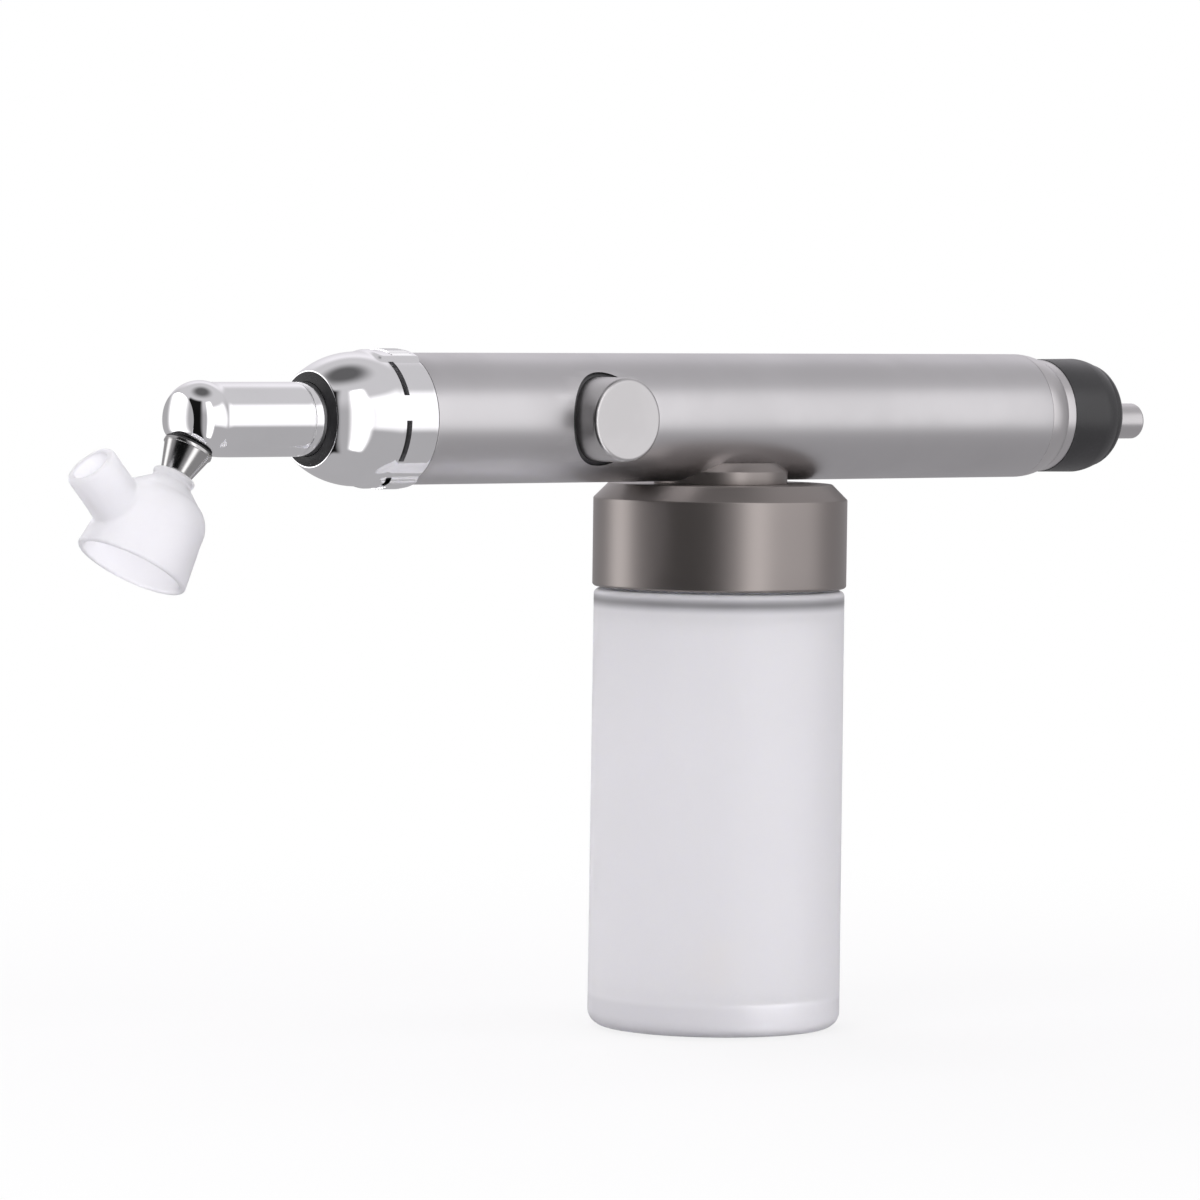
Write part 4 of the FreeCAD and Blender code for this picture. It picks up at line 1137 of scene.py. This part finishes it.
class SPRAYGUN_OT_nozzle(bpy.types.Operator):
    """Build the turned nozzle and its thin black seal"""

    bl_idname = "spraygun.nozzle"
    bl_label = "Nozzle"

    def execute(self, context):
        flange = SEAT + 0.3
        cone = flange + 0.5
        cone_end = cone + 4.15
        stem_end = cone_end + 3.55
        tip = stem_end + 0.9
        seal = turned("nozzle_washer", [(2.45, SEAT), (3.7, SEAT), (3.7, flange), (2.45, flange)],
                      on_nozzle(), spray_way, edge=0.06)
        finished(seal, "head", "black_rubber", kept("black rubber", seal_rubber), "nozzle_seal")
        nozzle = turned("nozzle_body", [
            (1.4, SEAT - 1.9),
            (2.4, SEAT - 1.9),
            (2.4, flange),
            (3.8, flange),
            (3.8, cone),
            (3.65, cone),
            (2.35, cone_end),
            (2.1, cone_end),
            (2.1, stem_end - 0.5),
            (2.3, stem_end - 0.5),
            (2.1, stem_end),
            (1.3, tip),
            (0.9, tip),
            (0.9, tip - 0.45),
            (1.4, tip - 1.35),
        ], on_nozzle(), spray_way, edge=0.07)
        finished(nozzle, "head", "nozzle_steel", kept("turned steel", nozzle_metal), "nozzle")
        return {"FINISHED"}


# ---- Guard cup -----------------------------------------------------------------------------------
CUP_LIP = 9.85
CUP_WALL = 0.95
CUP_CONE = (5.4, 2.9)
CUP_DOME = (7.85, 7.4)
CUP_RIM_RADIUS = 8.65
CUP_DEPTH = 15.2
SPOUT_DROP = 10.7
SPOUT_RADIUS = 4.0
SPOUT_ROOT = 4.35


def dome_bend(inset):
    """The cup's outline between its cone and its side, moved inwards."""
    drop = inset / 2
    middle = ((CUP_CONE[0] + CUP_DOME[0]) / 2 + 0.55, (CUP_CONE[1] + CUP_DOME[1]) / 2 - 0.55)
    return [
        (CUP_CONE[0] - inset, CUP_CONE[1] + drop),
        (middle[0] - inset, middle[1] + drop, ARC),
        (CUP_DOME[0] - inset, CUP_DOME[1] + drop),
    ]


def cup_side_radius(depth):
    """Outside radius of the cup at a depth below its lip."""
    if depth < CUP_CONE[1]:
        part = max(0.0, depth - 0.9) / (CUP_CONE[1] - 0.9)
        return 3.05 + (CUP_CONE[0] - 3.05) * part
    if depth < CUP_DOME[1]:
        part = (depth - CUP_CONE[1]) / (CUP_DOME[1] - CUP_CONE[1])
        return CUP_CONE[0] + (CUP_DOME[0] - CUP_CONE[0]) * math.sin(part * math.pi / 2)
    return CUP_DOME[0] + (CUP_RIM_RADIUS - CUP_DOME[0]) * (depth - CUP_DOME[1]) / (CUP_DEPTH - CUP_DOME[1])


def distance_to_axis(point, origin, way):
    """How far along an axis a point is, and how far off it."""
    offset = point - origin
    along = offset.dot(way)
    return along, (offset - way * along).length


def soften_joint(cup, lip, spout_origin, spout_way):
    """Blend the spout into the cup, as moulded silicone does."""
    group = cup.vertex_groups.new(name="joint")
    for vertex in cup.data.vertices:
        point = vertex.co / MM
        depth, off_cup = distance_to_axis(point, lip, spray_way)
        along, off_spout = distance_to_axis(point, spout_origin, spout_way)
        away = max(abs(off_cup - cup_side_radius(depth)), abs(off_spout - SPOUT_RADIUS - 0.15))
        if along > 3.0 and away < 1.5:
            group.add([vertex.index], smoothstep((1.5 - away) / 1.2), "REPLACE")
    modifier = cup.modifiers.new("blend", "SMOOTH")
    modifier.factor = 0.5
    modifier.iterations = 14
    modifier.vertex_group = "joint"
    frozen(cup)


class SPRAYGUN_OT_guard(bpy.types.Operator):
    """Build the soft guard cup with its side spout"""

    bl_idname = "spraygun.guard"
    bl_label = "Guard cup"

    def execute(self, context):
        lip = on_nozzle(CUP_LIP)
        half_wall = CUP_WALL / 2
        below_rim = CUP_DEPTH - half_wall
        lean = math.radians(40.4)
        spout_way = Vector((-math.sin(lean), 0, math.cos(lean)))
        spout_origin = on_nozzle(CUP_LIP + SPOUT_DROP)
        spout_length = 14.8
        cup = turned("guard_shell", [
            (0, -0.45),
            (3.05, -0.45),
            (3.3, 0, ARC),
            (3.05, 0.45),
            (3.05, 0.9),
            *dome_bend(0),
            (CUP_RIM_RADIUS, below_rim),
            (CUP_RIM_RADIUS - half_wall, CUP_DEPTH, ARC),
            (CUP_RIM_RADIUS - CUP_WALL, below_rim),
            (0, below_rim),
        ], lip, spray_way, edge=0.05)
        spout = turned("spout_tool", [
            (0, 3.0),
            (SPOUT_ROOT, 3.0),
            (SPOUT_RADIUS, spout_length - 5.3),
            (SPOUT_RADIUS, spout_length - 0.5),
            (SPOUT_RADIUS - 0.146, spout_length - 0.146, ARC),
            (SPOUT_RADIUS - 0.5, spout_length),
            (0, spout_length),
        ], spout_origin, spout_way, edge=0.05)
        carve(cup, spout, "UNION")
        hollow = turned("hollow_tool", [
            (0, 1.8),
            (3.1, 1.8),
            *dome_bend(CUP_WALL),
            (CUP_RIM_RADIUS - CUP_WALL, below_rim),
            (CUP_RIM_RADIUS - CUP_WALL, CUP_DEPTH + 1),
            (0, CUP_DEPTH + 1),
        ], lip, spray_way, edge=0.05)
        carve(cup, hollow)
        spout_bore, nozzle_hole = 2.85, 2.15
        carve(cup, rod("bore_tool", spout_bore, 0, 20, spout_origin, spout_way))
        carve(cup, rod("hole_tool", nozzle_hole, -2, 5, lip, spray_way))
        remesh = cup.modifiers.new("even", "REMESH")
        remesh.mode = "VOXEL"
        remesh.voxel_size = 0.20 * MM
        frozen(cup)
        soften_joint(cup, lip, spout_origin, spout_way)
        finished(cup, "guard", "frosted_silicone", kept("frosted silicone", frosted_silicone), "guard_cup")
        smoothed(cup, math.radians(60))
        return {"FINISHED"}


# ---- Lid and jar ---------------------------------------------------------------------------------
def thread(name, wall_radius, outward, foot_z, turns, material):
    """One thread ridge on a wall; outward is 1 on the jar's neck and -1 inside the lid."""
    pitch = sizes().thread_pitch
    depth = 1.10
    centre = wall_radius + outward * (0.85 - depth / 2)
    ridge = grown(name, ridge_tree(), {
        "Turns": turns,
        "Radius": centre,
        "Rise": pitch * turns,
        "Foot": 1.8 if outward > 0 else 0.7,
        "Crest": 0.7 if outward > 0 else 1.8,
        "Depth": depth,
    }, material)
    lay(ridge.data, Vector((0, 0, foot_z)), UP)
    return ridge


class SPRAYGUN_OT_lid(bpy.types.Operator):
    """Build the gunmetal lid and the saddle that carries the barrel"""

    bl_idname = "spraygun.lid"
    bl_label = "Lid and saddle"

    def execute(self, context):
        radius = sizes().lid_radius
        low, high = low_mm("lid").z, high_mm("lid").z
        bore = radius - 1.9
        ceiling = high - 2.4
        gunmetal = kept("gunmetal", lid_metal)
        lid = turned("lid_shell", [
            (bore, low),
            (radius - 0.3, low),
            (radius, low + 0.3),
            (radius, high - 2.4),
            (radius - 2.4, high),
            (3.05, high),
            (3.05, ceiling),
            (bore, ceiling),
        ], Vector(), UP, edge=0.14, longest=4.0)
        vent_angle = math.radians(50)
        vent_origin = Vector((13.4 * math.cos(vent_angle), 13.4 * math.sin(vent_angle), 0))
        vent_radius = 0.5
        carve(lid, rod("vent_tool", vent_radius, ceiling - 1, high + 1, vent_origin, UP))
        finished(lid, "gun", "gunmetal", gunmetal, "lid")
        jar_top = high_mm("jar").z
        foot = jar_top - 2.5 - sizes().thread_pitch * sizes().thread_turns
        half_pitch = sizes().thread_pitch / 2
        turns = sizes().thread_turns - 0.5
        ridge = thread("lid_thread", bore, -1, foot + half_pitch, turns, gunmetal)
        finished(ridge, "gun", "gunmetal", gunmetal)

        saddle_radius = sizes().barrel_radius + 0.5
        side = high + 2.0
        saddle = turned("saddle_boss", [
            (3.05, high),
            (saddle_radius, high),
            (saddle_radius, side),
            (saddle_radius - 1.4, side + 1.4),
            (3.05, side + 1.4),
        ], Vector(), UP, edge=0.12, longest=1.0)
        carve(saddle, rod("barrel_tool", sizes().barrel_radius, -20, 20, on_barrel(), BARREL_WAY))
        finished(saddle, "gun", "gunmetal", gunmetal, "saddle")
        return {"FINISHED"}


class SPRAYGUN_OT_jar(bpy.types.Operator):
    """Build the frosted glass jar with its threaded neck"""

    bl_idname = "spraygun.jar"
    bl_label = "Jar"

    def execute(self, context):
        radius = sizes().jar_radius
        top = high_mm("jar").z
        shoulder = top - 13.2
        under_lid = radius - 0.15
        inside = radius - 2.3
        neck = radius - 3.0
        mouth = neck - 2.0
        vault = inside - mouth
        vault_z = shoulder - 3.2
        glass = kept("frosted glass", frosted_glass)
        half = math.sqrt(0.5)
        jar = turned("glass_jar", [
            (0, 0),
            (radius - 2.5, 0),
            (radius - 2.5 * (1 - half), 2.5 * (1 - half), ARC),
            (radius, 2.5),
            (under_lid, shoulder - 0.9),
            (under_lid - 0.9 * (1 - half), shoulder - 0.9 * (1 - half), ARC),
            (under_lid - 0.9, shoulder),
            (neck, shoulder),
            (neck, top),
            (mouth, top),
            (mouth, vault_z),
            (mouth + vault * half, vault_z - vault * (1 - half), ARC),
            (inside, vault_z - vault),
            (inside, 7.0),
            (inside - 2.0 * (1 - half), 5.0 + 2.0 * (1 - half), ARC),
            (inside - 2.0, 5.0),
            (0, 5.0),
        ], Vector(), UP, edge=0.25, longest=3.0)
        finished(jar, "jar", "frosted_glass", glass, "jar")
        foot = top - 2.5 - sizes().thread_pitch * sizes().thread_turns
        ridge = thread("jar_thread", neck, 1, foot, sizes().thread_turns, glass)
        finished(ridge, "jar", "frosted_glass", glass)
        return {"FINISHED"}


# ---- Pieces inside -------------------------------------------------------------------------------
INSIDE = {
    "black rubber": (seal_rubber, "lid_gasket", "feed_washer", "line_rings", "spigot_ring", "stem_ring",
                     "poppet_pad", "tail_rings"),
    "machined brass": (inner_brass, "feed_bolt", "pickup_strainer", "manifold_block", "inlet_filter",
                       "valve_plug", "neck_bush"),
    "drawn steel": (inner_steel, "pickup_tube", "rear_air_line", "front_air_line", "fluid_line", "valve_stem",
                    "fluid_spigot", "head_tube", "fluid_tip"),
    "machined aluminium": (inner_aluminium, "valve_body", "front_socket"),
    "black plastic": (cap_plastic, "nose_sleeve"),
}


class SPRAYGUN_OT_inside(bpy.types.Operator):
    """Give the CAD pieces inside the gun their finishes"""

    bl_idname = "spraygun.inside"
    bl_label = "Inner pieces"

    def execute(self, context):
        for name, (make, *nodes) in INSIDE.items():
            material = kept(name, make)
            for node in nodes:
                slots = frame["nodes"][node].data.materials
                slots.clear()
                slots.append(material)
        return {"FINISHED"}


# ---- Stage ---------------------------------------------------------------------------------------
# Soft panels of the room: azimuth from -Y towards +X, half width, softness, lowest and highest
# elevation, in degrees, then strength and colour. A strength below 0 is a black flag.
PANELS = (
    (32, 28, 11, -14, 36, 0.72, (1.0, 0.99, 1.0)),
    (-7, 10, 7, -55, 52, 1.75, (1.0, 0.99, 0.99)),
    (-142, 12, 8, -20, 26, 1.75, (1.0, 0.99, 0.99)),
    (139, 28, 15, 0, 45, 0.34, (0.97, 0.93, 1.0)),
    (-71, 33, 8, -65, 56, -0.985, (1.0, 1.0, 1.0)),
)


def panel_mask(tree, azimuth, elevation, panel):
    """Soft rectangle in azimuth and elevation, from 0 to 1."""
    centre, half, soft, low, high = (math.radians(value) for value in panel[:5])
    turn = maths(tree, "WRAP", maths(tree, "SUBTRACT", azimuth, centre), math.pi, -math.pi)
    across = ramped(tree, maths(tree, "ABSOLUTE", turn), half + soft, half - soft)
    above = ramped(tree, elevation, low - soft / 2, low + soft / 2)
    below = ramped(tree, elevation, high + soft / 2, high - soft / 2)
    return maths(tree, "MULTIPLY", maths(tree, "MULTIPLY", across, above), below)


def scaled(tree, factor, colour):
    """A colour times a factor."""
    inputs = {0: colour, "Scale": factor}
    return add_node(tree, "ShaderNodeVectorMath", inputs, operation="SCALE").outputs["Vector"]


def mixed(tree, factor, first, second):
    """The first shader, or the second where the factor is 1."""
    return add_node(tree, "ShaderNodeMixShader", {"Fac": factor, 1: first, 2: second}).outputs["Shader"]


def room_light(strength):
    """A white room to the camera, with soft panels and flags for everything else."""
    world = bpy.data.worlds.new("studio")
    bpy.context.scene.world = world
    world.use_nodes = True
    tree = world.node_tree
    tree.nodes.clear()
    place = tree.nodes.new("ShaderNodeTexCoord").outputs["Generated"]
    way = add_node(tree, "ShaderNodeSeparateXYZ", {"Vector": place}).outputs
    azimuth = maths(tree, "ARCTAN2", way["X"], maths(tree, "MULTIPLY", way["Y"], -1.0))
    elevation = maths(tree, "ARCSINE", way["Z"])
    walls = ramped(tree, elevation, math.radians(12), math.radians(42), 0.42, 0.60)
    ceiling = ramped(tree, elevation, math.radians(60), math.radians(80), 1.0, 0.2)
    light = scaled(tree, maths(tree, "MULTIPLY", walls, ceiling), (0.99, 0.97, 1.0))
    for panel in PANELS:
        mask = panel_mask(tree, azimuth, elevation, panel)
        power, colour = panel[5:]
        if power < 0:
            keep = maths(tree, "MULTIPLY_ADD", mask, power, 1.0)
            light = vector_maths(tree, "MULTIPLY", light, scaled(tree, keep, colour))
        else:
            lit = scaled(tree, maths(tree, "MULTIPLY", mask, power), colour)
            light = vector_maths(tree, "ADD", light, lit)
    room = add_node(tree, "ShaderNodeBackground", {"Strength": strength, "Color": light})
    plain = add_node(tree, "ShaderNodeBackground", {"Color": WHITE})
    to_camera = tree.nodes.new("ShaderNodeLightPath").outputs["Is Camera Ray"]
    seen = mixed(tree, to_camera, room.outputs["Background"], plain.outputs["Background"])
    add_node(tree, "ShaderNodeOutputWorld", {"Surface": seen})


def floor_paint():
    """Pale floor: near white to the camera with a faint shadow; reflections see the room below it."""
    paint = Paint("pale floor", (0.62, 0.61, 0.63), 0.9, **{"Specular IOR Level": 0.0})
    tree = paint.tree
    glow = add_node(tree, "ShaderNodeEmission", {"Color": WHITE})
    distance = vector_maths(tree, "LENGTH", object_place(tree), output="Value")
    fade = ramped(tree, distance, 0.03, 0.32, 0.80, 1.0)
    path = tree.nodes.new("ShaderNodeLightPath").outputs
    to_camera = maths(tree, "MULTIPLY", path["Is Camera Ray"], fade)
    pale = mixed(tree, to_camera, paint.shader.outputs["BSDF"], glow.outputs["Emission"])
    clear = tree.nodes.new("ShaderNodeBsdfTransparent").outputs["BSDF"]
    both = mixed(tree, path["Is Glossy Ray"], pale, clear)
    tree.links.new(both, tree.nodes["Material Output"].inputs["Surface"])
    return paint.material


LAMP_AIM = Vector((-0.02, 0, 0.06))
# Soft lamps: name, place in metres, width, power in watts.
LAMPS = (
    ("lamp_left", (-0.98, -0.42, 0.50), 0.7, 8.2),
    ("lamp_right", (0.70, -0.70, 0.45), 0.7, 3.2),
    ("lamp_top", (0.0, 0.1, 1.0), 0.9, 4.4),
    ("lamp_back", (0.1, 0.9, 0.35), 0.9, 6.5),
)


class SPRAYGUN_OT_stage(bpy.types.Operator):
    """Set up the floor, the soft light and the camera"""

    bl_idname = "spraygun.stage"
    bl_label = "Stage"

    def execute(self, context):
        stage = context.scene.gun_stage
        build = bmesh.new()
        bmesh.ops.create_circle(build, cap_ends=True, segments=96, radius=6.0)
        floor = to_object("floor", build)
        floor.data.transform(Matrix.Translation((0, 0, -0.0002)))
        if floor.data.polygons[0].normal.z < 0:
            floor.data.flip_normals()
        floor.data.materials.append(floor_paint())
        room_light(stage.room)
        for name, place, width, power in LAMPS:
            lamp = bpy.data.lights.new(name, "AREA")
            lamp.size = width
            lamp.energy = power * stage.lamps
            lamp.color = (1.0, 0.985, 1.0)
            holder = bpy.data.objects.new(name, lamp)
            aim = (LAMP_AIM - Vector(place)).normalized()
            facing = Vector((0, 0, -1)).rotation_difference(aim).to_matrix().to_4x4()
            holder.matrix_world = Matrix.Translation(place) @ facing
            holder.visible_camera = False
            holder.visible_glossy = False
            context.scene.collection.objects.link(holder)
        camera = bpy.data.cameras.new("camera")
        camera.lens = stage.lens
        camera.sensor_width = 36.0
        camera.clip_start = 0.01
        camera.clip_end = 50.0
        turn, rise, roll = (math.radians(value) for value in (stage.turn, stage.rise, stage.roll))
        back = Vector((math.sin(turn) * math.cos(rise), -math.cos(turn) * math.cos(rise), math.sin(rise)))
        right = Vector((math.cos(turn), math.sin(turn), 0))
        up = back.cross(right)
        tilted_right = right * math.cos(roll) + up * math.sin(roll)
        tilted_up = up * math.cos(roll) - right * math.sin(roll)
        holder = bpy.data.objects.new("camera", camera)
        frame_axes = Matrix((tilted_right, tilted_up, back)).transposed().to_4x4()
        holder.matrix_world = Matrix.Translation(Vector(stage.aim) + back * stage.reach) @ frame_axes
        context.scene.collection.objects.link(holder)
        context.scene.camera = holder
        context.scene.view_settings.view_transform = "Standard"
        return {"FINISHED"}


# ---- Panel and registration ----------------------------------------------------------------------
OPERATORS = (
    SPRAYGUN_OT_barrel,
    SPRAYGUN_OT_rear,
    SPRAYGUN_OT_button,
    SPRAYGUN_OT_nose,
    SPRAYGUN_OT_head,
    SPRAYGUN_OT_nozzle,
    SPRAYGUN_OT_guard,
    SPRAYGUN_OT_lid,
    SPRAYGUN_OT_jar,
    SPRAYGUN_OT_inside,
    SPRAYGUN_OT_stage,
)
GROUPS = (("gun_sizes", GunSizes), ("gun_finish", GunFinish), ("gun_stage", GunStage))


class SPRAYGUN_PT_panel(bpy.types.Panel):
    """Lists the pieces of the spray gun and their settings"""

    bl_idname = "SPRAYGUN_PT_panel"
    bl_label = "Spray Gun"
    bl_space_type = "VIEW_3D"
    bl_region_type = "UI"
    bl_category = "Spray Gun"

    def draw(self, context):
        for operator in OPERATORS:
            self.layout.operator(operator.bl_idname)
        for name, group in GROUPS:
            box = self.layout.box()
            for setting in group.__annotations__:
                box.prop(getattr(context.scene, name), setting)


def register():
    for name, group in GROUPS:
        bpy.utils.register_class(group)
        setattr(bpy.types.Scene, name, PointerProperty(type=group))
    for operator in OPERATORS:
        bpy.utils.register_class(operator)
    bpy.utils.register_class(SPRAYGUN_PT_panel)


def unregister():
    bpy.utils.unregister_class(SPRAYGUN_PT_panel)
    for operator in reversed(OPERATORS):
        bpy.utils.unregister_class(operator)
    for name, group in reversed(GROUPS):
        delattr(bpy.types.Scene, name)
        bpy.utils.unregister_class(group)


def main():
    register()
    for operator in OPERATORS:
        family, name = operator.bl_idname.split(".")
        getattr(getattr(bpy.ops, family), name)()


if __name__ == "__main__":
    main()
